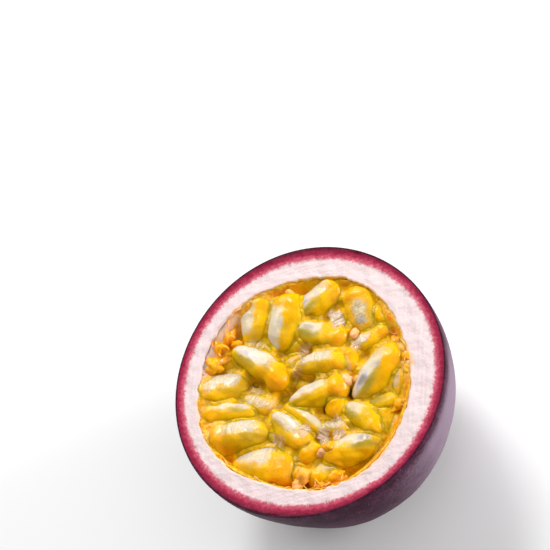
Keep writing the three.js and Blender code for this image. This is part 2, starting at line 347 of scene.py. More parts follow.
class FruitStudio(bpy.types.PropertyGroup):
    """Camera and light."""

    elevation: FloatProperty(
        name="Elevation", description="Height of the camera over the cut face's plane",
        default=math.radians(59.7), subtype="ANGLE")
    roll: FloatProperty(
        name="Roll", description="Turn of the camera about its own line of sight",
        default=math.radians(42.6), subtype="ANGLE")
    lens: FloatProperty(name="Lens", description="Focal length in mm", default=400.0)
    frame_width: FloatProperty(
        name="Frame width", description="Width of the view at the cut face",
        default=102.9 * MM, unit="LENGTH")
    key: FloatProperty(name="Key", description="Power of the large soft light", default=4.1, unit="POWER")
    side: FloatProperty(
        name="Side", description="Power of the light along the skin", default=4.3, unit="POWER")
    front: FloatProperty(
        name="Front", description="Power of the soft light by the camera", default=2.3, unit="POWER")
    glint: FloatProperty(
        name="Glint", description="Power of the small light that wet surfaces mirror",
        default=1.5, unit="POWER")
    fill: FloatProperty(name="Fill", description="Strength of the light from all round", default=0.20)


# ---- Shapes ----


def waves(terms, angle):
    """Unevenness of an outline at an angle, in metres."""
    return sum(height * MM * np.cos(count * angle - math.radians(phase)) for count, height, phase in terms)


def degrees_off(angle, bearing):
    """How far angles in radians lie from a bearing, in degrees from -180 to 180."""
    return np.degrees(np.angle(np.exp(1j * (angle - math.radians(bearing)))))


def smooth_step(low, high, value):
    share = np.clip((value - low) / (high - low), 0, 1)
    return share * share * (3 - 2 * share)


def bell(value, middle, width):
    """1 at the middle, falling away smoothly on both sides."""
    return np.exp(-(((value - middle) / width) ** 2))


def stretch(angle, bearing, start, whole, fading, end):
    """1 along a stretch of the wall and 0 outside it, at angles in radians."""
    off = degrees_off(angle, bearing)
    return smooth_step(start, whole, off) * smooth_step(end, fading, off)


class Ripples:
    """Smooth seeded relief of about one unit: plane waves in random directions, summed."""

    COUNT = 16

    def __init__(self, seed, wavelength):
        rng = np.random.default_rng(seed)
        directions = rng.normal(size=(self.COUNT, 3))
        directions /= np.linalg.norm(directions, axis=1)[:, None]
        lengths = wavelength * rng.uniform(0.7, 1.7, self.COUNT)
        self.turns = directions * (TURN / lengths)[:, None]
        self.starts = rng.uniform(0, TURN, self.COUNT)

    def __call__(self, points):
        return np.sin(points @ self.turns.T + self.starts).sum(axis=-1) * math.sqrt(2 / self.COUNT)


def all_round(sides):
    """Angles of points spaced evenly round a full turn."""
    return np.arange(sides) * TURN / sides


def pole_to_pole(bands):
    """Angles of the rings between two poles, each in a row of its own."""
    return np.linspace(-math.pi / 2, math.pi / 2, bands + 2)[1:-1, None]


def polar(radius, angle, height):
    radius, angle, height = np.broadcast_arrays(radius, angle, height)
    return np.stack([radius * np.cos(angle), radius * np.sin(angle), height], axis=-1)


def spindle(at, girth, angle):
    """Points of a body of half-length 1: rings of a girth at places along it."""
    return np.stack([at + 0 * angle, girth * np.cos(angle), girth * np.sin(angle)], axis=-1)


def level_axes(heading):
    """Three axes: along a heading in radians, square to it in the level, and up."""
    along, side = (math.cos(heading), math.sin(heading), 0.0), (-math.sin(heading), math.cos(heading), 0.0)
    return np.array([along, side, (0.0, 0.0, 1.0)])


class Shapes:
    """Gathers closed surfaces and their per-point values into one mesh."""

    def __init__(self):
        self.points, self.faces, self.values, self.count = [], [], {}, 0

    def add(self, points, faces, **values):
        self.points.append(points)
        self.faces += [[i + self.count for i in face] for face in faces]
        for name, value in values.items():
            self.values.setdefault(name, []).append(np.broadcast_to(value, len(points)))
        self.count += len(points)

    def piece(self, name):
        mesh = bpy.data.meshes.new(name)
        mesh.from_pydata(np.concatenate(self.points).tolist(), [], self.faces)
        mesh.shade_smooth()
        for value_name, parts in self.values.items():
            layer = mesh.attributes.new(value_name, "FLOAT", "POINT")
            layer.data.foreach_set("value", np.concatenate(parts).astype(np.float32))
        thing = bpy.data.objects.new(name, mesh)
        bpy.context.scene.collection.objects.link(thing)
        return thing


def closed_skin(first_pole, rings, last_pole):
    """Points and faces of one closed surface through a pole, a stack of rings and a second pole."""
    levels, sides = rings.shape[:2]
    points = np.concatenate([[first_pole], rings.reshape(-1, 3), [last_pole]])
    here = np.arange(sides)
    onward = (here + 1) % sides
    faces = [[0, 1 + j, 1 + i] for i, j in zip(here.tolist(), onward.tolist())]
    for level in range(levels - 1):
        low, high = 1 + level * sides, 1 + (level + 1) * sides
        faces += np.stack([low + here, low + onward, high + onward, high + here], axis=1).tolist()
    top, last = 1 + (levels - 1) * sides, len(points) - 1
    faces += [[last, top + i, top + j] for i, j in zip(here.tolist(), onward.tolist())]
    return points, faces


class Stack:
    """A closed surface in the making: rings from a first pole to a last one, with per-point values."""

    def __init__(self, pole, **values):
        self.pole, self.rings = pole, []
        self.values = {name: [[value]] for name, value in values.items()}

    def take(self, ring, **values):
        self.rings.append(ring)
        for name, value in values.items():
            self.values[name].append(np.broadcast_to(value, len(ring)))

    def closed(self, pole, **values):
        """Its points, faces and per-point values."""
        points, faces = closed_skin(self.pole, np.array(self.rings), pole)
        parts = {name: [*self.values[name], [last]] for name, last in values.items()}
        return points, faces, {name: np.concatenate(part) for name, part in parts.items()}


def thin_sheet(grid, thickness):
    """Points and faces of a closed thin scrap: a grid of points, one under it, and the edge between."""
    rows, columns = grid.shape[:2]
    normal = np.cross(np.gradient(grid, axis=0), np.gradient(grid, axis=1))
    normal /= np.linalg.norm(normal, axis=-1)[..., None] + 1e-12
    over, under = grid + normal * thickness / 2, grid - normal * thickness / 2
    points = np.concatenate([over.reshape(-1, 3), under.reshape(-1, 3)])
    down = rows * columns
    number = np.arange(down).reshape(rows, columns)
    corners = [number[:-1, :-1], number[1:, :-1], number[1:, 1:], number[:-1, 1:]]
    quads = np.stack(corners, axis=-1).reshape(-1, 4)
    faces = np.stack([quads, down + quads[:, ::-1]], axis=1).reshape(-1, 4).tolist()
    edge = np.concatenate([number[0, :-1], number[:-1, -1], number[-1, :0:-1], number[:0:-1, 0]])
    onward = np.roll(edge, -1)
    faces += np.stack([edge, onward, down + onward, down + edge], axis=1).tolist()
    return points, faces


def strand(route, radius, sides):
    """Points and faces of a closed thread along a route, thinner towards both ends."""
    along = np.gradient(route, axis=0)
    along /= np.linalg.norm(along, axis=1)[:, None]
    side = np.cross(along, [0.0, 0.0, 1.0]) + 1e-9
    side /= np.linalg.norm(side, axis=1)[:, None]
    up = np.cross(side, along)
    thick = radius * (0.35 + 0.65 * np.sin(math.pi * np.linspace(0, 1, len(route))))
    angle = all_round(sides)
    ring = side[:, None] * np.cos(angle)[None, :, None] + up[:, None] * np.sin(angle)[None, :, None]
    rings = route[:, None] + ring * thick[:, None, None]
    return closed_skin(route[0], rings[:, ::-1], route[-1])


# ---- Materials ----

# Colours of one finish alone, as linear red, green and blue.
STAIN_PEACH, STAIN_AMBER = (0.90, 0.54, 0.34), (0.94, 0.47, 0.12)
FRINGE_DEEP, FRINGE_BRIGHT = (0.80, 0.29, 0.008), (0.93, 0.50, 0.04)
BASIN_DEEP, BASIN_BRIGHT = (0.72, 0.33, 0.003), (0.86, 0.44, 0.004)
LEDGE_AMBER, LEDGE_PEACH = (0.95, 0.44, 0.06), (0.94, 0.57, 0.42)
# Painted shade, in the gaps between the sacs.
PIT_SHADE_BROWN = (0.12, 0.055, 0.003)
TAUT_GREY, TAUT_WRINKLE = (0.24, 0.21, 0.17), (0.45, 0.34, 0.16)
FILM_WHITE, FILM_PEACH = (0.84, 0.66, 0.52), (0.74, 0.46, 0.12)
SEED_WORN = (0.075, 0.050, 0.016)

# How strongly light bends in juice, in damp pith or membrane, and in the liquid that coats wet pieces.
JUICE_BEND, PITH_BEND, WET_BEND = 1.33, 1.38, 1.6


class Wire:
    """A socket that can stand in an expression: an expression on wires adds its Math nodes."""

    def __init__(self, paint, socket):
        self.paint, self.socket = paint, socket

    def _math(self, operation, *values):
        return self.paint.node("ShaderNodeMath", {"operation": operation}, dict(enumerate(values)))

    def __add__(self, other):
        return self._math("ADD", self, other)

    __radd__ = __add__

    def __sub__(self, other):
        return self._math("SUBTRACT", self, other)

    def __rsub__(self, other):
        return self._math("SUBTRACT", other, self)

    def __mul__(self, other):
        return self._math("MULTIPLY", self, other)

    __rmul__ = __mul__

    def step(self, low, high):
        """0 below low, 1 above high and smooth between them."""
        return self.paint.node(
            "ShaderNodeMapRange", {"interpolation_type": "SMOOTHSTEP"},
            {"From Min": low, "From Max": high, "Value": self})


class Paint:
    """A material that is being mixed. Places are in metres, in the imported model's frame."""

    def __init__(self, name):
        self.material = bpy.data.materials.new(name)
        self.material.use_nodes = True
        self.tree = self.material.node_tree
        self.shader = self.tree.nodes["Principled BSDF"]
        self.place = self.node("ShaderNodeTexCoord", output="Object")

    def node(self, kind, settings=None, values=None, output=0):
        """Adds a node: its settings first, then the values or wires of its sockets. Returns an output."""
        made = self.tree.nodes.new(kind)
        for name, value in (settings or {}).items():
            setattr(made, name, value)
        self.feed(made, values or {})
        return Wire(self, made.outputs[output])

    def feed(self, node, values):
        for name, value in values.items():
            socket = node.inputs[name]
            if isinstance(value, Wire):
                self.tree.links.new(value.socket, socket)
            elif socket.type == "RGBA":
                socket.default_value = (*value, 1.0)
            else:
                socket.default_value = value

    def mix(self, share, low, high):
        """Colour between low and high."""
        made = self.tree.nodes.new("ShaderNodeMix")
        made.data_type = "RGBA"
        socket = {s.identifier: s for s in made.inputs}
        for name, value in (("Factor_Float", share), ("A_Color", low), ("B_Color", high)):
            if isinstance(value, Wire):
                self.tree.links.new(value.socket, socket[name])
            else:
                socket[name].default_value = value if name == "Factor_Float" else (*value, 1.0)
        return Wire(self, next(s for s in made.outputs if s.identifier == "Result_Color"))

    def noise(self, grain, detail=3.0, roughness=0.5, place=None):
        """Cloudy values from 0 to 1 with clouds of that size in metres."""
        return self.node(
            "ShaderNodeTexNoise", {},
            {"Vector": place or self.place, "Scale": 1 / grain, "Detail": detail, "Roughness": roughness})

    def bands(self, along):
        """Cloudy values from 0 to 1 that change along one length alone."""
        return self.node(
            "ShaderNodeTexNoise", {"noise_dimensions": "1D"}, {"W": along, "Scale": 1.0, "Detail": 1.0})

    def cells(self, grain):
        """Distance to the nearest of points scattered that far apart in metres, as a share of it."""
        return self.node(
            "ShaderNodeTexVoronoi", {}, {"Vector": self.place, "Scale": 1 / grain}, output="Distance")

    def value(self, name):
        """A per-point value of the mesh."""
        return self.node("ShaderNodeAttribute", {"attribute_name": name}, output="Fac")

    def relief(self, height, distance, under=None):
        """A bumped normal: height is from 0 to 1, distance is what 1 stands for in metres."""
        values = {"Height": height, "Distance": distance, "Strength": 1.0}
        if under:
            values["Normal"] = under
        return self.node("ShaderNodeBump", {}, values)

    def finish(self, **sockets):
        self.feed(self.shader, {name.replace("_", " "): value for name, value in sockets.items()})
        return self.material


def skin_material(colours):
    paint = Paint("passion skin")
    mottle = paint.noise(5 * MM, 4, 0.6)
    grain = paint.noise(0.5 * MM, 3, 0.6)
    colour = paint.mix((mottle * 0.7 + grain * 0.5).step(0.45, 0.85), colours.skin, colours.bloom)
    # Painted sheen: a lavender waxy bloom is laid on the side of the skin that faces the side light.
    waxy = (paint.value("waxy") + (mottle - 0.5) * 0.4 + (grain - 0.5) * 0.5).step(0.0, 1.0)
    colour = paint.mix(waxy * 0.85, colour, colours.wax_and_sheen)
    dots = 1 - paint.cells(0.75 * MM).step(0.10, 0.26)
    chosen = paint.noise(1.7 * MM, 1).step(0.42, 0.62)
    colour = paint.mix(dots * chosen * 0.45, colour, colours.speckle)
    pores = paint.cells(0.42 * MM).step(0.0, 0.5)
    relief = paint.relief(pores * 0.3 + grain * 0.7, 0.022 * MM)
    relief = paint.relief(paint.noise(2.6 * MM, 2), 0.07 * MM, relief)
    return paint.finish(
        Base_Color=colour, Roughness=0.46 + 0.14 * grain, Normal=relief, IOR=1.45, Specular_IOR_Level=0.08,
        Sheen_Weight=0.05, Sheen_Roughness=0.4, Sheen_Tint=(0.75, 0.60, 0.82),
        Subsurface_Weight=0.08, Subsurface_Radius=(1.0, 0.35, 0.45), Subsurface_Scale=0.6 * MM)


def pith_material(colours):
    paint = Paint("passion pith")
    cloud = paint.noise(2.4 * MM, 4, 0.6)
    grain = paint.noise(0.32 * MM, 3, 0.65)
    colour = paint.mix((cloud * 0.75 + grain * 0.45).step(0.48, 0.80), colours.pith, colours.blush)
    # The crimson layer darkens towards the skin, and its inner edge frays into the pith.
    fray = (paint.noise(0.8 * MM, 5, 0.68) - 0.5) * 1.7 + (grain - 0.5) * 0.9
    band = paint.value("into_crimson") + fray
    colour = paint.mix(band.step(-0.75, 0.10), colour, colours.rose)
    colour = paint.mix(band.step(0.0, 0.95), colour, colours.crimson)
    colour = paint.mix(band.step(0.80, 2.10), colour, colours.maroon)
    # Juice has stained the lip and the wall under it.
    stain = (paint.value("into_cavity") + (paint.noise(1.1 * MM, 4, 0.6) - 0.5) * 1.4).step(-0.40, 0.65)
    peach = paint.mix(paint.noise(2.0 * MM, 3).step(0.40, 0.62), STAIN_PEACH, STAIN_AMBER)
    stained = paint.mix(paint.value("amber_side"), peach, colours.amber)
    colour = paint.mix(stain * 0.95, colour, stained)
    pores = paint.cells(0.38 * MM).step(0.0, 0.6)
    relief = paint.relief(pores * 0.5 + grain * 0.5, 0.05 * MM)
    relief = paint.relief(paint.noise(1.2 * MM, 3), 0.10 * MM, relief)
    return paint.finish(
        Base_Color=colour, Roughness=0.45 + 0.2 * grain, Normal=relief, IOR=PITH_BEND,
        Specular_IOR_Level=0.15, Coat_Weight=0.6 * stain, Coat_Roughness=0.18,
        Subsurface_Weight=0.3, Subsurface_Radius=(1.0, 0.55, 0.50), Subsurface_Scale=0.3 * MM)


class Slack:
    """Juice under slack, finely creased membrane: its colour and what makes it uneven."""

    def __init__(self, paint, colours):
        self.cloud = paint.noise(2.2 * MM, 3)
        self.strands = paint.noise(0.30 * MM, 3, 0.6)
        self.creased = paint.noise(1.6 * MM, 2).step(0.48, 0.62)
        bed = paint.mix(self.cloud.step(0.38, 0.62), colours.gap, colours.amber)
        self.colour = paint.mix(self.strands.step(0.52, 0.66) * self.creased * 0.22, bed, colours.film)


def sac_material(colours, name, painted_shade):
    """Wet juice sacs. The colours are multiplied by painted_shade: the layer underneath is a darker
    copy, painted shade for lying deeper.
    """
    paint = Paint(name)

    def shaded(colour):
        return tuple(part * painted_shade for part in colour)

    lobe, hue, low = paint.value("juice_end"), paint.value("hue"), paint.value("low")
    window, seed, crackle = paint.value("window"), paint.value("seed_near"), paint.value("crackle")
    along, greyish = paint.value("along"), paint.value("greyish")
    cloud = paint.noise(2.0 * MM, 3, 0.55)
    grain = paint.noise(0.45 * MM, 3, 0.6)
    lengthwise = paint.node(
        "ShaderNodeCombineXYZ", {}, {"X": along * 0.22, "Y": paint.value("around") * 2.2, "Z": hue * 7.0})
    streaks = paint.noise(1.0, 3, 0.6, lengthwise)
    uneven = cloud * 0.55 + streaks * 0.45 - 0.5
    orange = (lobe * 0.7 + hue * 0.55 + uneven * 1.2).step(-0.25, 1.0)
    colour = paint.mix(orange, shaded(colours.juice), shaded(colours.orange))
    # Painted shade as well as thicker juice: each sac turns olive low down its sides.
    thick = (low - hue * 0.35 - lobe * 0.3 + uneven).step(-0.28, 0.65)
    colour = paint.mix(thick, colour, shaded(colours.olive))
    colour = paint.mix((seed + uneven * 0.5).step(0.05, 0.9) * 0.85, colour, shaded(colours.shadow))
    # Fine wrinkles, in rings round the sac where its membrane is slack.
    strands = paint.noise(0.32 * MM, 3, 0.6)
    rings = paint.bands((along + uneven * 1.6) * 2.6)
    creases = (rings * 0.45 + strands * 0.65).step(0.50, 0.62)
    # Over the seed the membrane is whitish, greyer where the seed is close, and fades out towards the juice
    # end. This window is pale membrane and painted highlight, laid on the flank towards the light.
    pale = paint.value("pale") * (1.05 - lobe * 1.3)
    mottle = paint.noise(0.9 * MM, 3, 0.55) - 0.5
    shown = (window + mottle * 0.75 + uneven * 0.5).step(0.10, 0.95) * pale
    grey = (greyish * 1.5 + uneven + mottle).step(0.0, 1.1)
    taut_highlight = paint.mix(grey, shaded(colours.cream_highlight), shaded(colours.lavender))
    taut_highlight = paint.mix((greyish + uneven + mottle * 0.6).step(0.30, 0.9) * 0.7, taut_highlight, shaded(TAUT_GREY))
    taut_highlight = paint.mix(crackle * creases * 0.75, taut_highlight, shaded(TAUT_WRINKLE))
    # Painted glints: between the wrinkles the membrane is made a little paler.
    colour = paint.mix(crackle * (1 - creases) * 0.07, colour, shaded(colours.cream_highlight))
    # Painted highlight: the whitish window is laid over the sac's own colours.
    colour = paint.mix(shown, colour, taut_highlight)
    colour = paint.mix(paint.value("sunk"), colour, Slack(paint, colours).colour)
    relief = paint.relief(grain * 0.35 + crackle * creases, 0.04 * MM)
    relief = paint.relief(streaks, 0.10 * MM, relief)
    relief = paint.relief(paint.noise(1.8 * MM, 2), 0.22 * MM, relief)
    return paint.finish(
        Base_Color=colour, Roughness=0.17 + 0.12 * grain, Normal=relief, IOR=JUICE_BEND,
        Specular_IOR_Level=0.14, Coat_Weight=0.04 + 0.4 * shown + 0.36 * lobe, Coat_Roughness=0.14,
        Coat_IOR=WET_BEND, Subsurface_Weight=1.0, Subsurface_Radius=(1.0, 0.75, 0.06),
        Subsurface_Scale=1.3 * MM)


def juice_material(colours):
    """Juice between the sacs: orange along the wall, and peach with torn pulp on the ledge."""
    paint = Paint("passion juice")
    slack = Slack(paint, colours)
    cloud, strands = slack.cloud, slack.strands
    edge = (paint.value("wallward") + (cloud - 0.5) * 0.9).step(0.15, 0.8)
    fringe = paint.mix(paint.noise(0.9 * MM, 3, 0.6).step(0.42, 0.62), FRINGE_DEEP, FRINGE_BRIGHT)
    colour = paint.mix(edge, slack.colour, fringe)
    basin = (paint.value("basin") + (cloud - 0.5) * 0.4).step(0.05, 0.5)
    colour = paint.mix(basin, colour, paint.mix(cloud.step(0.3, 0.7), BASIN_DEEP, BASIN_BRIGHT))
    ledge = paint.value("ledge") + (cloud - 0.5) * 0.5 + (strands - 0.5) * 0.4
    torn = paint.mix(ledge.step(0.50, 0.90), LEDGE_AMBER, LEDGE_PEACH)
    colour = paint.mix(ledge.step(0.20, 0.50), colour, torn)
    # Painted shade: the gaps between the sacs are darkened.
    colour = paint.mix(paint.value("pit").step(0.2, 0.9), colour, PIT_SHADE_BROWN)
    relief = paint.relief(strands * (0.35 + 0.65 * slack.creased), 0.07 * MM)
    relief = paint.relief(paint.noise(0.9 * MM, 3), 0.12 * MM, relief)
    return paint.finish(
        Base_Color=colour, Roughness=0.14 + 0.1 * cloud, Normal=relief, IOR=JUICE_BEND,
        Specular_IOR_Level=0.2, Coat_Weight=0.12, Coat_IOR=WET_BEND, Coat_Roughness=0.2,
        Subsurface_Weight=1.0, Subsurface_Radius=(1.0, 0.7, 0.05), Subsurface_Scale=1.3 * MM)


def film_material(colours):
    """Slack membrane, finely pleated across its length."""
    paint = Paint("passion film")
    cloud = paint.noise(1.2 * MM, 2)
    grain = paint.noise(0.35 * MM, 3, 0.6)
    sway = paint.value("film_along") + (paint.noise(1.6 * MM, 2) - 0.5) * 1.2
    pleats = (paint.bands(sway * 3.0) * 0.9 + grain * 0.2).step(0.46, 0.66)
    tone = (paint.value("tone") + (cloud - 0.5) * 0.8).step(0.1, 0.9)
    colour = paint.mix(pleats, paint.mix(tone, FILM_WHITE, FILM_PEACH), colours.film)
    relief = paint.relief(pleats * 0.8 + grain * 0.2, 0.05 * MM)
    shown = (paint.value("film_middle") + (cloud - 0.5) * 1.4 + (grain - 0.5) * 0.5).step(0.10, 0.95)
    return paint.finish(
        Base_Color=colour, Roughness=0.25 + 0.2 * grain, Normal=relief, IOR=PITH_BEND, Coat_Weight=0.5,
        Coat_Roughness=0.1, Coat_IOR=WET_BEND, Alpha=shown * ((1 - tone) * 0.45 + 0.25 * pleats))


def fibre_material(colours, name):
    """Fibres along the wall and beads of juice: hue runs from 0 for orange to 1 for peach."""
    paint = Paint(name)
    cloud = paint.noise(1.0 * MM, 3)
    hue = paint.value("hue") + (cloud - 0.5) * 1.2
    colour = paint.mix(hue.step(0.0, 1.0), colours.orange, colours.fibre)
    relief = paint.relief(paint.noise(0.4 * MM, 3), 0.07 * MM)
    return paint.finish(
        Base_Color=colour, Roughness=0.16 + 0.2 * cloud, Normal=relief, IOR=JUICE_BEND,
        Specular_IOR_Level=0.2, Coat_Weight=0.2, Coat_Roughness=0.15, Coat_IOR=WET_BEND,
        Subsurface_Weight=0.5, Subsurface_Radius=(1.0, 0.6, 0.1), Subsurface_Scale=0.5 * MM)


def seed_material(colours):
    paint = Paint("passion seed")
    grain = paint.noise(0.5 * MM, 3)
    pits = paint.cells(0.45 * MM).step(0.0, 0.4)
    colour = paint.mix(grain.step(0.4, 0.7), colours.seed, SEED_WORN)
    return paint.finish(
        Base_Color=colour, Roughness=0.3 + 0.2 * grain, Normal=paint.relief(pits, 0.12 * MM), IOR=1.45)


# ---- The rind ----


class Rind:
    """Where the skin, the crimson layer and the cavity lie, all round the fruit."""

    def __init__(self, sizes):
        self.sizes = sizes
        self.rest_tilt = math.acos(sizes.rest_radius / sizes.cut_radius)
        self.cavity_depth = CUT_HEIGHT - sizes.floor_wall
        self.ragged = Ripples(sizes.seed + 1, 2.2 * MM)
        self.nicks = Ripples(sizes.seed + 2, 0.9 * MM)

    def skin(self, angle):
        return self.sizes.cut_radius + waves(SKIN_WAVES, angle)

    def swollen(self, ring, angle, tilt):
        """A ring of the skin's curve with its swells and hollows."""
        off = np.zeros(len(angle))
        sunk, above_rest = math.degrees(tilt), math.degrees(self.rest_tilt - tilt)
        for bearing, down, width, height in SKIN_SWELLS:
            turn = degrees_off(angle, bearing)
            off += height * MM * np.exp(-(turn**2 + (sunk - down) ** 2) / width**2)
        fade = smooth_step(0, 10, sunk) * smooth_step(0, 10, above_rest)
        outward = polar(math.cos(tilt), angle, -math.sin(tilt))
        return ring + outward * (off * fade)[:, None]

    def crimson(self, angle):
        return self.sizes.crimson_radius + waves(CRIMSON_WAVES, angle)

    def mouth(self, angle):
        return self.sizes.mouth_radius + waves(MOUTH_WAVES, angle)

    def ragged_mouth(self, angle):
        """The mouth's outline with the small tears and nicks of the cut."""
        radius = self.mouth(angle)
        place = polar(radius, angle, 0.0)
        return radius + (self.ragged(place) * 0.09 + self.nicks(place) * 0.045) * MM

    def wall(self, angle, height):
        """Radius of the cavity at a height, straight up over the cut face."""
        sunk = np.clip((CUT_HEIGHT - height) / self.cavity_depth, 0, 1)
        return self.mouth(angle) * np.sqrt(1 - sunk**2)


def skin_piece(sizes, colours):
    """The skin: a thin cup that is rounded over at the cut."""
    rind = Rind(sizes)
    angle = all_round(sizes.rind_sides)
    radius = rind.skin(angle)
    swell = Ripples(sizes.seed + 3, 14 * MM)
    dimple = Ripples(sizes.seed + 4, 4 * MM)

    def outside(tilt):
        ring = polar(radius * math.cos(tilt), angle, CUT_HEIGHT - sizes.depth * math.sin(tilt))
        fade = math.sin(math.pi * tilt / rind.rest_tilt)
        outward = ring * [1, 1, 0] / np.linalg.norm(ring[:, :2], axis=1)[:, None]
        ring = ring + outward * (fade * (swell(ring) * 0.06 + dimple(ring) * 0.018) * MM)[:, None]
        return rind.swollen(ring, angle, tilt)

    def inside(tilt):
        height = CUT_HEIGHT - (sizes.depth - sizes.peel) * math.sin(tilt)
        return rind.swollen(polar((radius - sizes.peel) * math.cos(tilt), angle, height), angle, tilt)

    round_off = sizes.peel / 2
    edge_tilt = round_off / sizes.depth
    flat = [polar(sizes.rest_radius * share, angle, 0.0) for share in (0.35, 0.7)]
    curve = [outside(tilt) for tilt in np.linspace(rind.rest_tilt, edge_tilt, SKIN_RINGS)]
    # The curve starts on the ground, where the flat ends.
    curve[0][:, 2] = 0.0
    rings = flat + curve
    for turn in np.linspace(0, math.pi, EDGE_RINGS)[1:-1]:
        rings.append(polar(
            radius - round_off * (1 - math.cos(turn)), angle, CUT_HEIGHT - round_off * (1 - math.sin(turn))))
    rings += [inside(tilt) for tilt in np.linspace(edge_tilt, rind.rest_tilt, LINING_RINGS)]
    made = Shapes()
    points, faces = closed_skin([0, 0, 0], np.array(rings), [0, 0, sizes.peel])
    # Where the lavender waxy bloom and painted sheen lie: round one bearing, fading at the cut and near the
    # ground.
    off = degrees_off(np.arctan2(points[:, 1], points[:, 0]), SHEEN_BEARING)
    waxy = bell(off, 0, SHEEN_WIDTH) * smooth_step(0, 4 * MM, CUT_HEIGHT - points[:, 2])
    made.add(points, faces, waxy=waxy * smooth_step(3 * MM, 12 * MM, points[:, 2]))
    dress(made.piece("skin"), skin_material(colours), "rind")


def pith_piece(sizes, colours):
    """The crimson layer and the pith: the cut face, its lip and the cavity's wall."""
    rind = Rind(sizes)
    angle = all_round(sizes.rind_sides)
    clear = 0.01 * MM  # between the pith and the skin round it
    outer = rind.skin(angle) - sizes.peel - clear
    outer_depth = sizes.depth - sizes.peel - clear
    mouth = rind.ragged_mouth(angle)
    blotch = Ripples(sizes.seed + 5, 3.0 * MM)
    grit = Ripples(sizes.seed + 6, 1.0 * MM)
    soaked = sum(reach * bell(degrees_off(angle, bearing), 0, width) for bearing, width, reach in SOAKED)
    torn = stretch(angle, *LIP_TORN)
    # How far a point is out in the crimson layer, and how far in towards the cavity, in mm: far is past
    # either border.
    far = 9.0
    stack = Stack([0, 0, sizes.peel], into_crimson=far, into_cavity=-far)
    for tilt in np.linspace(rind.rest_tilt, 0, PITH_RINGS)[:-1]:
        ring = polar(outer * math.cos(tilt), angle, CUT_HEIGHT - outer_depth * math.sin(tilt))
        stack.take(rind.swollen(ring, angle, tilt), into_crimson=far, into_cavity=-far)
    face_end = mouth + sizes.lip
    for share in np.linspace(0, 1, FACE_RINGS):
        radius = outer + (face_end - outer) * share
        ring = polar(radius, angle, CUT_HEIGHT)
        calm = smooth_step(0, 0.06, share) * (1 - 0.6 * smooth_step(0.9, 1, share))
        sag = -0.10 * math.sin(math.pi * share) - 0.05 * smooth_step(0.75, 1, share)
        ring[:, 2] += (sag + calm * (blotch(ring) * 0.05 + grit(ring) * 0.022)) * MM
        into_crimson = (radius - rind.crimson(angle)) / MM
        stack.take(ring, into_crimson=into_crimson, into_cavity=(mouth - radius) / MM + soaked)
    lip_start = stack.rings[-1][:, 2]
    for turn in np.linspace(0, math.pi / 2, EDGE_RINGS)[1:]:
        height = lip_start - sizes.lip * (1 - math.cos(turn))
        stained = (turn / (math.pi / 2)) * 0.6 + soaked - 1.4 * torn
        ring = polar(face_end - sizes.lip * math.sin(turn), angle, height)
        stack.take(ring, into_crimson=-far, into_cavity=stained)
    top = lip_start - sizes.lip
    outward = polar(1.0, angle, 0.0)
    for share in np.linspace(0, 1, WALL_RINGS)[1:-1]:
        tilt = (math.pi / 2) * share**1.25
        lowered = rind.cavity_depth * math.sin(tilt)
        ring = polar(mouth * math.cos(tilt), angle, top - lowered * (1 - sizes.lip / rind.cavity_depth))
        ring += outward * (blotch(ring * [1, 1, 0.6]) * 0.10 * math.cos(tilt) * MM)[:, None]
        stack.take(ring, into_crimson=-far, into_cavity=0.6 + lowered / MM * 0.3)
    points, faces, values = stack.closed([0, 0, sizes.floor_wall], into_crimson=-far, into_cavity=far)
    values["amber_side"] = stretch(np.arctan2(points[:, 1], points[:, 0]), *LIP_AMBER)
    made = Shapes()
    made.add(points, faces, **values)
    dress(made.piece("pith"), pith_material(colours), "rind")


# ---- The pulp ----

SAC_PIECES = ("seed_sacs", "under_sacs")
ANY_SEED = 1 << 30  # the seeds of drawn ripples lie below this
HALVINGS = 13  # steps in which the flat between two sacs is found


class LaidSac:
    """A sac where it lies: its axes, half-sizes and centre, and how deep in it a point is."""

    def __init__(self, sac, flatness):
        self.sac = sac
        self.axes = level_axes(math.radians(sac.heading))
        self.half = np.array([sac.length, sac.width, sac.width * flatness]) / 2 * MM
        self.centre = np.array([sac.x * MM, sac.y * MM, CUT_HEIGHT + sac.crown * MM - self.half[2]])

    def reach(self, points):
        """0 at the sac's middle and 1 on its plain outline."""
        return np.linalg.norm((points - self.centre) @ self.axes.T / self.half, axis=-1)

    def near(self, other):
        return np.linalg.norm(self.centre - other.centre) < self.half[0] + other.half[0]


def pressed(points, laid, others):
    """Draws a sac's points back from its neighbours, so that two sacs share the flat between them."""
    # share is where, on the way from the sac's centre at 0 to each point at 1, the first neighbour
    # begins to hold the place more strongly than the sac does. It is found by halving.
    beyond = 1.6
    share = np.full(len(points), beyond)
    arm = points - laid.centre
    size = laid.reach(points)
    for other in others:
        low, high = np.zeros(len(points)), np.full(len(points), beyond)
        for _ in range(HALVINGS):
            middle = (low + high) / 2
            inside = other.reach(laid.centre + arm * middle[:, None]) < middle * size
            high = np.where(inside, middle, high)
            low = np.where(inside, low, middle)
        share = np.minimum(share, high)
    rounding = 0.05
    eased = 0.5 * (1 + share - np.sqrt((1 - share) ** 2 + rounding**2))
    return laid.centre + arm * np.clip(eased, 0.12, 1.0)[:, None]


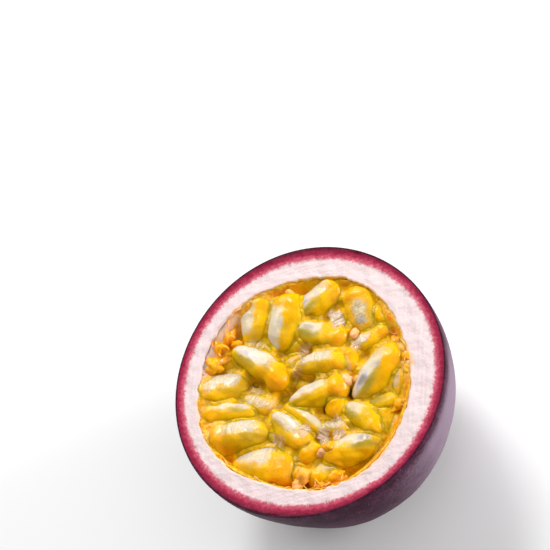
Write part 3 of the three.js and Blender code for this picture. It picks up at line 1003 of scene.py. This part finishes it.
def sac_body(laid, sides, bands, seed, rng):
    """An uneven spindle with a juice lobe: its points, its faces and how far along it each point is."""
    lobe = laid.sac.lobe
    turn = pole_to_pole(bands)
    at = np.sin(turn)
    girth = np.cos(turn) ** 0.8 * (1 + 0.17 * at)
    girth = girth * (1 - 0.20 * lobe * bell(at, WAIST, 0.15))
    girth = girth * (1 + 0.07 * lobe * bell(at, LOBE, 0.22))
    angle = all_round(sides)
    bend = rng.uniform(-0.10, 0.10)
    shift = bend * (at**2 - 0.4) * laid.half[0] / laid.half[1]
    body = spindle(at, girth, angle)
    body[..., 1] += shift
    body *= laid.half
    swell = Ripples(seed + 500, 4.5 * MM)
    pucker = Ripples(seed + 900, 1.6 * MM)
    bumps = 1 + 0.055 * swell(body) + 0.022 * pucker(body * [0.5, 1.2, 1.2])
    pleats = 1 + 0.012 * lobe * bell(at, WAIST, 0.2) * np.cos(9 * angle + rng.uniform(0, TURN))
    body[..., 1:] *= (bumps * pleats)[..., None]
    ends = np.array([[-1.0, shift[0, 0], 0.0], [1.0, shift[-1, 0], 0.0]])
    first, last = laid.centre + (ends * laid.half) @ laid.axes
    points, faces = closed_skin(first, laid.centre + body @ laid.axes, last)
    return points, faces, np.concatenate([[-1.0], np.repeat(at.ravel(), sides), [1.0]])


def sac_surface(laid, sides, bands, seed):
    """A sac that nothing presses on: its points, faces and per-point values."""
    sac = laid.sac
    rng = np.random.default_rng(seed)
    points, faces, along = sac_body(laid, sides, bands, seed, rng)
    # Over the seed the skin is taut: the top is flattened there.
    facing = FACING + rng.normal(0, 0.07, 3)
    facing -= laid.axes[0] * (facing @ laid.axes[0]) * 0.6
    facing /= np.linalg.norm(facing)
    support = np.linalg.norm(laid.axes @ facing * laid.half)
    over_seed = smooth_step(0.62, 0.10, np.abs(along - SEED) - 0.10)
    cut = 0.17 * support
    over = (points - laid.centre) @ facing - (support - cut)
    over = 0.5 * (over + np.sqrt(over**2 + (0.05 * support) ** 2))
    points = points - (over * over_seed * 0.75)[:, None] * facing
    # Where a point lies across the sac and up it, as shares of its half-sizes.
    # Across runs towards the light, to the flank that takes the painted highlight.
    lightward = np.cross(facing, laid.axes[0])
    lightward *= np.sign(lightward @ LIT_SIDE)
    across = (points - laid.centre) @ lightward / np.linalg.norm(laid.axes @ lightward * laid.half)
    up = (points - laid.centre) @ facing / support
    on_top = smooth_step(0.0, 0.3, up)
    # The whitish window, pale membrane with a painted highlight on the flank towards the light; its lower
    # edge the lower the further it spreads.
    ragged = Ripples(seed + 1300, 2.6 * MM)(points)
    lengthwise = np.abs(along - sac.middle + 0.04 * ragged) / sac.run
    low_edge = 0.12 - 0.8 * sac.spread
    window = 1 - smooth_step(0.60, 1.20, lengthwise)
    window *= smooth_step(low_edge, low_edge + 0.55, across + 0.07 * ragged)
    window *= smooth_step(-0.25, 0.10, up)
    window *= 1 - smooth_step(0.85, 1.0, sac.crackle) * smooth_step(0.25, 0.75, across)
    # How far a point is from the middle of the seed's shadow and of its grey heart, 1 near their edges.
    away = np.hypot((along + 0.38) / 0.72, (across - 0.24 + 0.8 * sac.spread) / 0.50)
    inside = np.hypot((along + 0.45) / 0.45, (across - 0.45 + 0.5 * sac.spread) / 0.45)
    # Creases cover the window's flank, and gather at the waist.
    flank = smooth_step(low_edge - 0.4, low_edge + 0.4, across)
    waist = sac.lobe * bell(along, 0.30, 0.13) * on_top
    angle = all_round(sides)
    return points, faces, {
        "window": window,
        "seed_near": (0.3 + 0.7 * sac.grey) * (1 - smooth_step(0.10, 1.15, away)) * on_top,
        "juice_end": smooth_step(0.05, 0.75, along) * (0.5 + 0.5 * sac.lobe),
        # low: how far down a sac's side a point lies, for the olive of thicker juice and painted shade.
        "low": smooth_step(0.2, 1.5, (CUT_HEIGHT + sac.crown * MM - points[:, 2]) / laid.half[2] / 1.1),
        "along": along * laid.half[0] / MM,
        "around": np.concatenate([[0.0], np.tile(np.minimum(angle, TURN - angle), bands), [0.0]]),
        "hue": sac.hue,
        "pale": sac.pale,
        "crackle": np.clip(sac.crackle * flank * smooth_step(0.9, 0.3, along) + 0.8 * waist * flank, 0, 1),
        "greyish": sac.grey * (1 - smooth_step(0.1, 1.0, inside)),
    }


def kept_in(points, rind, slack):
    """Draws points back that would pass the cavity's wall."""
    radius = np.hypot(points[:, 0], points[:, 1])
    limit = rind.wall(np.arctan2(points[:, 1], points[:, 0]), points[:, 2]) - slack
    rounding = 0.25 * MM
    eased = 0.5 * (radius + limit - np.sqrt((radius - limit) ** 2 + rounding**2))
    inward = eased / (radius + 1e-9)
    return points * np.stack([inward, inward, np.ones(len(points))], axis=-1)


def under_layer(sizes):
    """The sacs under those that show: a jittered grid of them, headed any way."""
    rng = np.random.default_rng(sizes.seed + 40)
    sacs = []
    for row in range(-3, 4):
        for column in range(-3, 4):
            inset = UNDER_STEP / 2 if row % 2 else 0
            x = column * UNDER_STEP + inset + rng.uniform(-UNDER_STRAY, UNDER_STRAY)
            y = row * UNDER_STEP * 0.87 + rng.uniform(-UNDER_STRAY, UNDER_STRAY)
            crown, heading = rng.uniform(-3.0, -1.9), rng.uniform(0, 360)
            length, width = rng.uniform(8.5, 11), rng.uniform(4.8, 5.8)
            if math.hypot(x, y) < UNDER_REACH:
                hue, crackle = rng.uniform(-0.9, 0.1), rng.uniform(0.1, 0.9)
                sacs.append(Sac(
                    x, y, heading, length, width, crown, lobe=0.3, pale=0.15, spread=0.5, middle=-0.3,
                    run=0.7, grey=0.1, crackle=crackle, hue=hue))
    return sacs


def laid_sacs(sizes):
    """Every sac where it lies: those that show, then the layer under them."""
    return [LaidSac(sac, sizes.sac_flatness) for sac in SACS + under_layer(sizes)]


def sac_heap(sizes, laid, chosen, sides, bands, seed):
    """The chosen sacs, pressed by all that lie near them, as one mesh."""
    rind = Rind(sizes)
    made = Shapes()
    for number in chosen:
        this = laid[number]
        others = [other for other in laid if other is not this and this.near(other)]
        points, faces, values = sac_surface(this, sides, bands, seed + number)
        points = kept_in(pressed(points, this, others), rind, 0.12 * MM)
        made.add(points, faces, **values)
    return made


def shown_sacs_piece(sizes, colours):
    laid = laid_sacs(sizes)
    made = sac_heap(sizes, laid, range(len(SACS)), sizes.sac_sides, sizes.sac_sides, sizes.seed + 100)
    dress(made.piece("seed_sacs"), sac_material(colours, "passion sac", 1.0), "pulp")


def under_sacs_piece(sizes, colours):
    laid = laid_sacs(sizes)
    chosen = range(len(SACS), len(laid))
    made = sac_heap(sizes, laid, chosen, sides=UNDER_SIDES, bands=UNDER_BANDS, seed=sizes.seed + 300)
    # The layer underneath takes darker copies of the same colours: painted shade.
    dress(made.piece("under_sacs"), sac_material(colours, "passion sac under", 0.85), "pulp")


def seeds_piece(sizes, colours):
    """A seed in each sac that shows and is long enough: flattened, pointed at one end."""
    made = Shapes()
    turn = pole_to_pole(SEED_BANDS)
    shape = spindle(np.sin(turn), np.cos(turn) * (1 - 0.25 * np.sin(turn)), all_round(SEED_SIDES))
    for sac in SACS:
        if sac.length < SEEDLESS:
            continue
        laid = LaidSac(sac, sizes.sac_flatness)
        half = np.minimum(SEED_HALF, np.array([sac.length, sac.width, sac.width]) * SEED_SHARE) * MM
        middle = laid.centre + np.array([-0.28 * laid.half[0], 0, 0.1 * laid.half[2]]) @ laid.axes
        end = half[0] * laid.axes[0]
        made.add(*closed_skin(middle - end, middle + (shape * half) @ laid.axes, middle + end))
    dress(made.piece("seeds"), seed_material(colours), "pulp")


class HeapTop:
    """The heap as seen from above: a square grid of heights, whose grooves can be bridged."""

    def __init__(self, sizes, names):
        self.step = 0.25 * MM
        self.first = -23 * MM
        count = int(-2 * self.first / self.step) + 1
        points, faces = [], []
        for name in names:
            mesh = bpy.data.objects[name].data
            start = len(points)
            points += [point.co for point in mesh.vertices]
            faces += [[start + i for i in face.vertices] for face in mesh.polygons]
        tree = BVHTree.FromPolygons(points, faces)
        down = Vector((0, 0, -1))
        level = CUT_HEIGHT - sizes.juice_drop
        heights = np.full((count, count), level)
        for i in range(count):
            for j in range(count):
                above = Vector((self.first + i * self.step, self.first + j * self.step, 1.0))
                hit = tree.ray_cast(above, down)[0]
                if hit:
                    heights[i, j] = max(level, hit.z)
        self.heights = heights

    def bridged(self, radius):
        """The height that a ball of that radius can't get under."""
        reach = int(radius / self.step)
        steps = range(-reach, reach + 1)
        ball = [
            (i, j, math.sqrt(radius**2 - (i * i + j * j) * self.step**2))
            for i in steps for j in steps if i * i + j * j <= reach * reach]
        raised = np.max([np.roll(self.heights, (i, j), (0, 1)) + rise for i, j, rise in ball], axis=0)
        return np.min([np.roll(raised, (i, j), (0, 1)) - rise for i, j, rise in ball], axis=0)

    def at(self, heights, x, y):
        """Heights at places between the grid's points."""
        u = np.clip((x - self.first) / self.step, 0, len(heights) - 1.001)
        v = np.clip((y - self.first) / self.step, 0, len(heights) - 1.001)
        i, j = u.astype(int), v.astype(int)
        u, v = u - i, v - j
        return (heights[i, j] * (1 - u) * (1 - v) + heights[i + 1, j] * u * (1 - v)
                + heights[i, j + 1] * (1 - u) * v + heights[i + 1, j + 1] * u * v)


def mark_sunk(mesh, heap, bridged):
    """Notes on a mesh's points how near they are to sinking into the juice that bridges the grooves."""
    points = np.empty(len(mesh.vertices) * 3)
    mesh.vertices.foreach_get("co", points)
    x, y, z = points.reshape(-1, 3).T
    sunk = smooth_step(0.02 * MM, 0.28 * MM, heap.at(bridged, x, y) - z)
    mesh.attributes.new("sunk", "FLOAT", "POINT").data.foreach_set("value", sunk.astype(np.float32))


def juice_piece(sizes, colours):
    """The juice and slack membrane the sacs lie in: it bridges their grooves and creeps up the wall."""
    rind = Rind(sizes)
    heap = HeapTop(sizes, SAC_PIECES)
    bridged = heap.bridged(sizes.bridge)
    over_tops = smooth_step(0.30 * MM, 0.02 * MM, bridged - heap.heights)
    for name in SAC_PIECES:
        mark_sunk(bpy.data.objects[name].data, heap, bridged)
    bridged = bridged - over_tops * 0.16 * MM
    angle = all_round(JUICE_SIDES)
    swell = Ripples(sizes.seed + 60, 3.2 * MM)
    pucker = Ripples(sizes.seed + 61, 0.9 * MM)
    ripples = Ripples(sizes.seed + 62, 6 * MM)(polar(20 * MM, angle, 0.0))
    hollow, torn = stretch(angle, *JUICE_HOLLOW), stretch(angle, *JUICE_TORN)
    narrow, flush = stretch(angle, *JUICE_NARROW), stretch(angle, *JUICE_FLUSH)
    # How far in mm the wall draws the juice up, and the height at which it ends on the wall.
    wide = 3.0 + hollow + 1.6 * torn - 1.9 * narrow
    climb = CUT_HEIGHT - (0.25 + 0.08 * ripples + 0.4 * hollow + 0.55 * torn - 0.12 * flush) * MM
    off_wall = 0.2 * MM
    stack = Stack([0, 0, sizes.floor_wall + off_wall], wallward=1.0, basin=0.0, ledge=0.0, pit=0.0)
    bed_end = math.asin(sizes.juice_drop / rind.cavity_depth)
    for tilt in np.linspace(math.pi / 2, bed_end, BED_RINGS)[1:]:
        height = CUT_HEIGHT - (rind.cavity_depth - off_wall) * math.sin(tilt)
        ring = polar(rind.wall(angle, height) - off_wall, angle, height)
        stack.take(ring, wallward=1.0, basin=hollow, ledge=torn, pit=0.0)
    for share in np.linspace(1, 0, JUICE_RINGS)[:-1]:
        # The first ring is sunk a little into the wall, so that no gap shows at the ragged lip.
        radius = (rind.wall(angle, climb) + 0.10 * MM) * share
        ring = polar(radius, angle, 0.0)
        near_wall = smooth_step(1, 0, (rind.mouth(angle) - radius) / MM / wide)
        height = heap.at(bridged, ring[:, 0], ring[:, 1]) - 0.03 * MM
        ripple = 1 - heap.at(over_tops, ring[:, 0], ring[:, 1])
        raised = climb - (0.6 + 1.8 * hollow + 1.6 * torn) * MM * (1 - near_wall) ** (2 - hollow - 0.8 * torn)
        ring[:, 2] = height + np.maximum(raised - height, 0) * near_wall
        ring[:, 2] += ripple * (swell(ring) * 0.06 + pucker(ring) * 0.04) * MM
        # The gaps between the sacs are lowered, and noted for their painted shade.
        pit = np.zeros(len(angle))
        for x, y, size, depth in PITS:
            inside = np.exp(-((ring[:, 0] / MM - x) ** 2 + (ring[:, 1] / MM - y) ** 2) / size**2)
            pit += inside
            ring[:, 2] -= depth * inside * MM
        if share == 1:
            ring[:, 2] = climb
        wallward, basin, ledge = near_wall * (1 - hollow), near_wall * hollow, near_wall * torn
        stack.take(ring, wallward=wallward, basin=basin, ledge=ledge, pit=pit)
    pole = [0, 0, stack.rings[-1][:, 2].mean()]
    points, faces, values = stack.closed(pole, wallward=0.0, basin=0.0, ledge=0.0, pit=0.0)
    made = Shapes()
    made.add(points, faces, **values)
    dress(made.piece("juice"), juice_material(colours), "pulp")


def blob(centre, widths, heading, seed):
    """Points and faces of a small uneven lump of those widths, its length along a heading in radians."""
    turn = pole_to_pole(BLOB_BANDS)
    shape = spindle(np.sin(turn), np.cos(turn), all_round(BLOB_SIDES)) * np.array(widths) / 2
    axes = level_axes(heading)
    ripple = Ripples(seed, 1.3 * MM)
    crease = Ripples(seed + 1, 0.6 * MM)
    shape *= (1 + 0.12 * ripple(shape) + 0.045 * crease(shape))[..., None]
    pole = axes[0] * widths[0] / 2
    return closed_skin(centre - pole, centre + shape @ axes, centre + pole)


def beads_piece(sizes, colours):
    """Small loose drops of juice sac."""
    made = Shapes()
    for number, bead in enumerate(BEADS):
        centre = np.array([bead.x * MM, bead.y * MM, CUT_HEIGHT + bead.z * MM])
        size = bead.diameter * MM
        # Its number, taken as radians, turns each one another way.
        points, faces = blob(centre, (size * 1.15, size, size * 0.9), number, sizes.seed + 700 + number)
        made.add(points, faces, hue=bead.hue)
    dress(made.piece("juice_beads"), fibre_material(colours, "passion bead"), "pulp")


def films_piece(sizes, colours):
    """Scraps of bare membrane that lie crumpled over the sacs."""
    heap = HeapTop(sizes, (*SAC_PIECES, "juice"))
    draped = heap.bridged(1.8 * MM)
    made = Shapes()
    # Places along and across a scrap, from -1 to 1.
    u, v = np.meshgrid(np.linspace(-1, 1, FILM_ROWS), np.linspace(-1, 1, FILM_COLUMNS), indexing="ij")
    longer, narrower = 1 - 0.25 * v**2, 1 - 0.45 * np.abs(u) ** 2.5
    middle = 1 - np.maximum(np.abs(u) ** 2, np.abs(v) ** 2)
    for number, film in enumerate(FILMS):
        crumple = Ripples(sizes.seed + 800 + number, 1.1 * MM)
        wrinkle = Ripples(sizes.seed + 830 + number, 0.5 * MM)
        outline = Ripples(sizes.seed + 860 + number, 1.0 * MM)
        flat = np.stack([u * film.length / 2 * longer, v * film.width / 2 * narrower, 0 * u], axis=-1) * MM
        flat *= 1 + 0.12 * outline(flat)[..., None]
        along, side, _ = level_axes(math.radians(film.heading))
        place = np.array([film.x * MM, film.y * MM, 0.0]) + flat[..., :1] * along + flat[..., 1:2] * side
        place[..., 2] = heap.at(draped, place[..., 0], place[..., 1])
        folds = 0.03 * crumple(flat * [1.8, 0.3, 1]) + 0.015 * wrinkle(flat * [2.0, 0.2, 1])
        place[..., 2] += (0.06 + folds) * MM
        points, faces = thin_sheet(place, 0.05 * MM)
        made.add(
            points, faces, tone=film.tone, film_along=np.tile(flat[..., 0].ravel() / MM, 2),
            film_middle=np.tile(middle.ravel(), 2))
    dress(made.piece("films"), film_material(colours), "pulp")


def wall_strand(rind, rng, first, last, reach):
    """Points and faces of a fibre that wanders along and inward from the wall between two bearings."""
    start = math.radians(rng.uniform(first, last))
    turn = rng.normal(0, 0.13)
    drop = rng.uniform(0.2, 1.5) * MM
    inward = abs(rng.normal(0, 0.6)) * reach * MM
    fall = rng.uniform(-0.3, 1.0) * MM
    wander = Ripples(int(rng.integers(ANY_SEED)), 2.5 * MM)
    share = np.linspace(0, 1, STRAND_RINGS)
    angle = start + turn * share
    height = CUT_HEIGHT - drop - fall * share**1.5
    route = polar(rind.wall(angle, height) - 0.1 * MM - inward * share, angle, height)
    sway = np.stack([wander(route), wander(route[:, ::-1]), wander(route * 1.3)], axis=-1)
    route = route + sway * (0.22 * MM * np.sin(math.pi * share)[:, None])
    return strand(route, rng.uniform(0.07, 0.20) * MM, STRAND_SIDES)


def wall_crumb(rind, rng, first, last, reach):
    """Points and faces of a crumb of pulp that lies off the wall between two bearings."""
    angle = math.radians(rng.uniform(first, last))
    inward = rng.uniform(0, 1) ** 1.3 * reach * MM
    height = CUT_HEIGHT - rng.uniform(1.4, 2.4) * MM
    centre = polar(rind.wall(np.array(angle), height) - 0.5 * MM - inward, angle, height)
    length, width = rng.uniform(3.0, 6.0) * MM, rng.uniform(1.5, 2.8) * MM
    heading = angle + math.pi / 2 + rng.normal(0, 0.45)
    return blob(centre, (length, width, width * 0.8), heading, int(rng.integers(ANY_SEED)))


def fibres_piece(sizes, colours):
    """The frayed wall: fibres from the wall inward and along it, and crumbs of pulp among them."""
    rind = Rind(sizes)
    rng = np.random.default_rng(sizes.seed + 900)
    made = Shapes()
    for first, last, strands, crumbs, reach in FRAYED:
        for _ in range(strands):
            made.add(*wall_strand(rind, rng, first, last, reach), hue=rng.uniform(-0.2, 1))
        for _ in range(crumbs):
            made.add(*wall_crumb(rind, rng, first, last, reach), hue=rng.uniform(-0.8, 0.3))
    for x, y, z, size, thickness, turn, hue in CURLS:
        angle = np.radians(np.linspace(CURL_START, turn + CURL_START, CURL_RINGS))
        wander = Ripples(sizes.seed + int(10 * turn), 2.0 * MM)
        route = polar(size * MM, angle, 0.0) * [1, 0.8, 1] + [x * MM, y * MM, CUT_HEIGHT + z * MM]
        route[:, 2] += 0.5 * MM * np.sin(angle) + 0.15 * MM * wander(route)
        made.add(*strand(route, thickness * MM, CURL_SIDES), hue=hue)
    dress(made.piece("fibres"), fibre_material(colours, "passion fibre"), "pulp")


# ---- Setting pieces out, and the studio ----


def dress(piece, material, node):
    """Gives a piece its material and body, and hides the node whose place it takes."""
    piece.data.materials.append(material)
    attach(piece, "root")
    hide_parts(node)


FRAME_SIDE = 550  # side of the rendered frame, in pixels
CUT_MIDDLE = (308.9, 381.3)  # where the middle of the cut face falls in it, from its left and top
SENSOR_WIDTH = 36.0  # mm

# Lights: the way each lies from the fruit, and its distance and width in metres.
LIGHTS = {
    "key": ((0.14, 0.80, 0.585), 0.7, 0.55),
    "side": ((0.84, -0.44, 0.30), 0.7, 0.3),
    "front": ((0.35, -0.35, 0.87), 0.9, 1.0),
    "glint": ((0.25, 0.57, 0.74), 0.7, 0.16),
}


def set_camera(studio):
    """Looks down on the cut face, turned about its own line of sight."""
    data = bpy.data.cameras.new("camera")
    data.lens, data.sensor_width = studio.lens, SENSOR_WIDTH
    camera = bpy.data.objects.new("camera", data)
    bpy.context.scene.collection.objects.link(camera)
    back = Vector((0, -math.cos(studio.elevation), math.sin(studio.elevation)))
    level, rise = Vector((1, 0, 0)), Vector((0, math.sin(studio.elevation), math.cos(studio.elevation)))
    right = level * math.cos(studio.roll) - rise * math.sin(studio.roll)
    up = level * math.sin(studio.roll) + rise * math.cos(studio.roll)
    pixel = studio.frame_width / FRAME_SIDE
    aim = Vector((0, 0, CUT_HEIGHT))
    aim -= right * (CUT_MIDDLE[0] - FRAME_SIDE / 2) * pixel
    aim += up * (CUT_MIDDLE[1] - FRAME_SIDE / 2) * pixel
    place = aim + back * studio.frame_width * studio.lens / data.sensor_width
    turn = Matrix((right, up, back)).transposed().to_4x4()
    camera.matrix_world = Matrix.Translation(place) @ turn
    data.clip_start, data.clip_end = 0.01, 10
    bpy.context.scene.camera = camera


def soft_light(name, towards, distance, size, power):
    """A square soft light in a direction from the fruit, facing it."""
    data = bpy.data.lights.new(name, "AREA")
    data.shape, data.size, data.energy = "SQUARE", size, power
    light = bpy.data.objects.new(name, data)
    bpy.context.scene.collection.objects.link(light)
    direction = Vector(towards).normalized()
    place = direction * distance + Vector((0, 0, CUT_HEIGHT / 2))
    light.matrix_world = Matrix.Translation(place) @ direction.to_track_quat("Z", "Y").to_matrix().to_4x4()


def set_floor():
    mesh = bpy.data.meshes.new("floor")
    far = 3.0
    mesh.from_pydata([(-far, -far, 0), (far, -far, 0), (far, far, 0), (-far, far, 0)], [], [(0, 1, 2, 3)])
    floor = bpy.data.objects.new("floor", mesh)
    bpy.context.scene.collection.objects.link(floor)
    paint = Paint("studio floor")
    mesh.materials.append(paint.finish(Base_Color=(0.93, 0.93, 0.93), Roughness=0.9))


def set_world(fill):
    world = bpy.data.worlds.new("studio")
    world.use_nodes = True
    world.node_tree.nodes["Background"].inputs["Color"].default_value = (1, 1, 1, 1)
    world.node_tree.nodes["Background"].inputs["Strength"].default_value = fill
    bpy.context.scene.world = world


# ---- Operators and panel ----


def build(context, *pieces):
    """Builds pieces from the scene's sizes and colours, and says that their operator is done."""
    for piece in pieces:
        piece(context.scene.fruit_sizes, context.scene.fruit_colours)
    return {"FINISHED"}


class FRUIT_OT_skin(bpy.types.Operator):
    """Build the purple skin"""

    bl_idname = "fruit.skin"
    bl_label = "Skin"
    bl_options = {"REGISTER", "UNDO"}

    def execute(self, context):
        return build(context, skin_piece)


class FRUIT_OT_pith(bpy.types.Operator):
    """Build the crimson layer and the pith"""

    bl_idname = "fruit.pith"
    bl_label = "Pith"
    bl_options = {"REGISTER", "UNDO"}

    def execute(self, context):
        return build(context, pith_piece)


class FRUIT_OT_sacs(bpy.types.Operator):
    """Build the seed sacs that show and the seeds in them"""

    bl_idname = "fruit.sacs"
    bl_label = "Seed sacs"
    bl_options = {"REGISTER", "UNDO"}

    def execute(self, context):
        return build(context, shown_sacs_piece, seeds_piece)


class FRUIT_OT_under_sacs(bpy.types.Operator):
    """Build the layer of sacs underneath"""

    bl_idname = "fruit.under_sacs"
    bl_label = "Sacs underneath"
    bl_options = {"REGISTER", "UNDO"}

    def execute(self, context):
        return build(context, under_sacs_piece)


class FRUIT_OT_juice(bpy.types.Operator):
    """Build the juice that fills the cavity"""

    bl_idname = "fruit.juice"
    bl_label = "Juice"
    bl_options = {"REGISTER", "UNDO"}

    def execute(self, context):
        return build(context, juice_piece)


class FRUIT_OT_beads(bpy.types.Operator):
    """Build the loose beads of juice"""

    bl_idname = "fruit.beads"
    bl_label = "Beads"
    bl_options = {"REGISTER", "UNDO"}

    def execute(self, context):
        return build(context, beads_piece)


class FRUIT_OT_films(bpy.types.Operator):
    """Build the scraps of membrane"""

    bl_idname = "fruit.films"
    bl_label = "Films"
    bl_options = {"REGISTER", "UNDO"}

    def execute(self, context):
        return build(context, films_piece)


class FRUIT_OT_fibres(bpy.types.Operator):
    """Build the fibres along the wall"""

    bl_idname = "fruit.fibres"
    bl_label = "Fibres"
    bl_options = {"REGISTER", "UNDO"}

    def execute(self, context):
        return build(context, fibres_piece)


class FRUIT_OT_studio(bpy.types.Operator):
    """Set the floor, the lights and the camera"""

    bl_idname = "fruit.studio"
    bl_label = "Studio"
    bl_options = {"REGISTER", "UNDO"}

    def execute(self, context):
        studio = context.scene.fruit_studio
        set_camera(studio)
        set_floor()
        set_world(studio.fill)
        for name, (towards, distance, size) in LIGHTS.items():
            soft_light(name, towards, distance, size, getattr(studio, name))
        context.scene.view_settings.view_transform = "Standard"
        return {"FINISHED"}


class FRUIT_PT_panel(bpy.types.Panel):
    """The builders, in the 3D view's sidebar"""

    bl_idname = "FRUIT_PT_panel"
    bl_label = "Passion fruit half"
    bl_space_type = "VIEW_3D"
    bl_region_type = "UI"
    bl_category = "Fruit"

    def draw(self, context):
        for builder in BUILDERS:
            self.layout.operator(builder.bl_idname)
        for group in (context.scene.fruit_sizes, context.scene.fruit_colours, context.scene.fruit_studio):
            box = self.layout.box()
            for name in group.bl_rna.properties.keys():
                if name not in ("rna_type", "name"):
                    box.prop(group, name)


GROUPS = {"fruit_sizes": FruitSizes, "fruit_colours": FruitColours, "fruit_studio": FruitStudio}
BUILDERS = (
    FRUIT_OT_studio, FRUIT_OT_skin, FRUIT_OT_pith, FRUIT_OT_sacs, FRUIT_OT_under_sacs, FRUIT_OT_juice,
    FRUIT_OT_beads, FRUIT_OT_films, FRUIT_OT_fibres)


def register():
    for kind in (*GROUPS.values(), *BUILDERS, FRUIT_PT_panel):
        bpy.utils.register_class(kind)
    for name, kind in GROUPS.items():
        setattr(bpy.types.Scene, name, PointerProperty(type=kind))


def unregister():
    for name in GROUPS:
        delattr(bpy.types.Scene, name)
    for kind in reversed((*GROUPS.values(), *BUILDERS, FRUIT_PT_panel)):
        bpy.utils.unregister_class(kind)


def main():
    register()
    bpy.ops.fruit.studio()
    bpy.ops.fruit.skin()
    bpy.ops.fruit.pith()
    bpy.ops.fruit.sacs()
    bpy.ops.fruit.under_sacs()
    bpy.ops.fruit.juice()
    bpy.ops.fruit.beads()
    bpy.ops.fruit.films()
    bpy.ops.fruit.fibres()


if __name__ == "__main__":
    main()
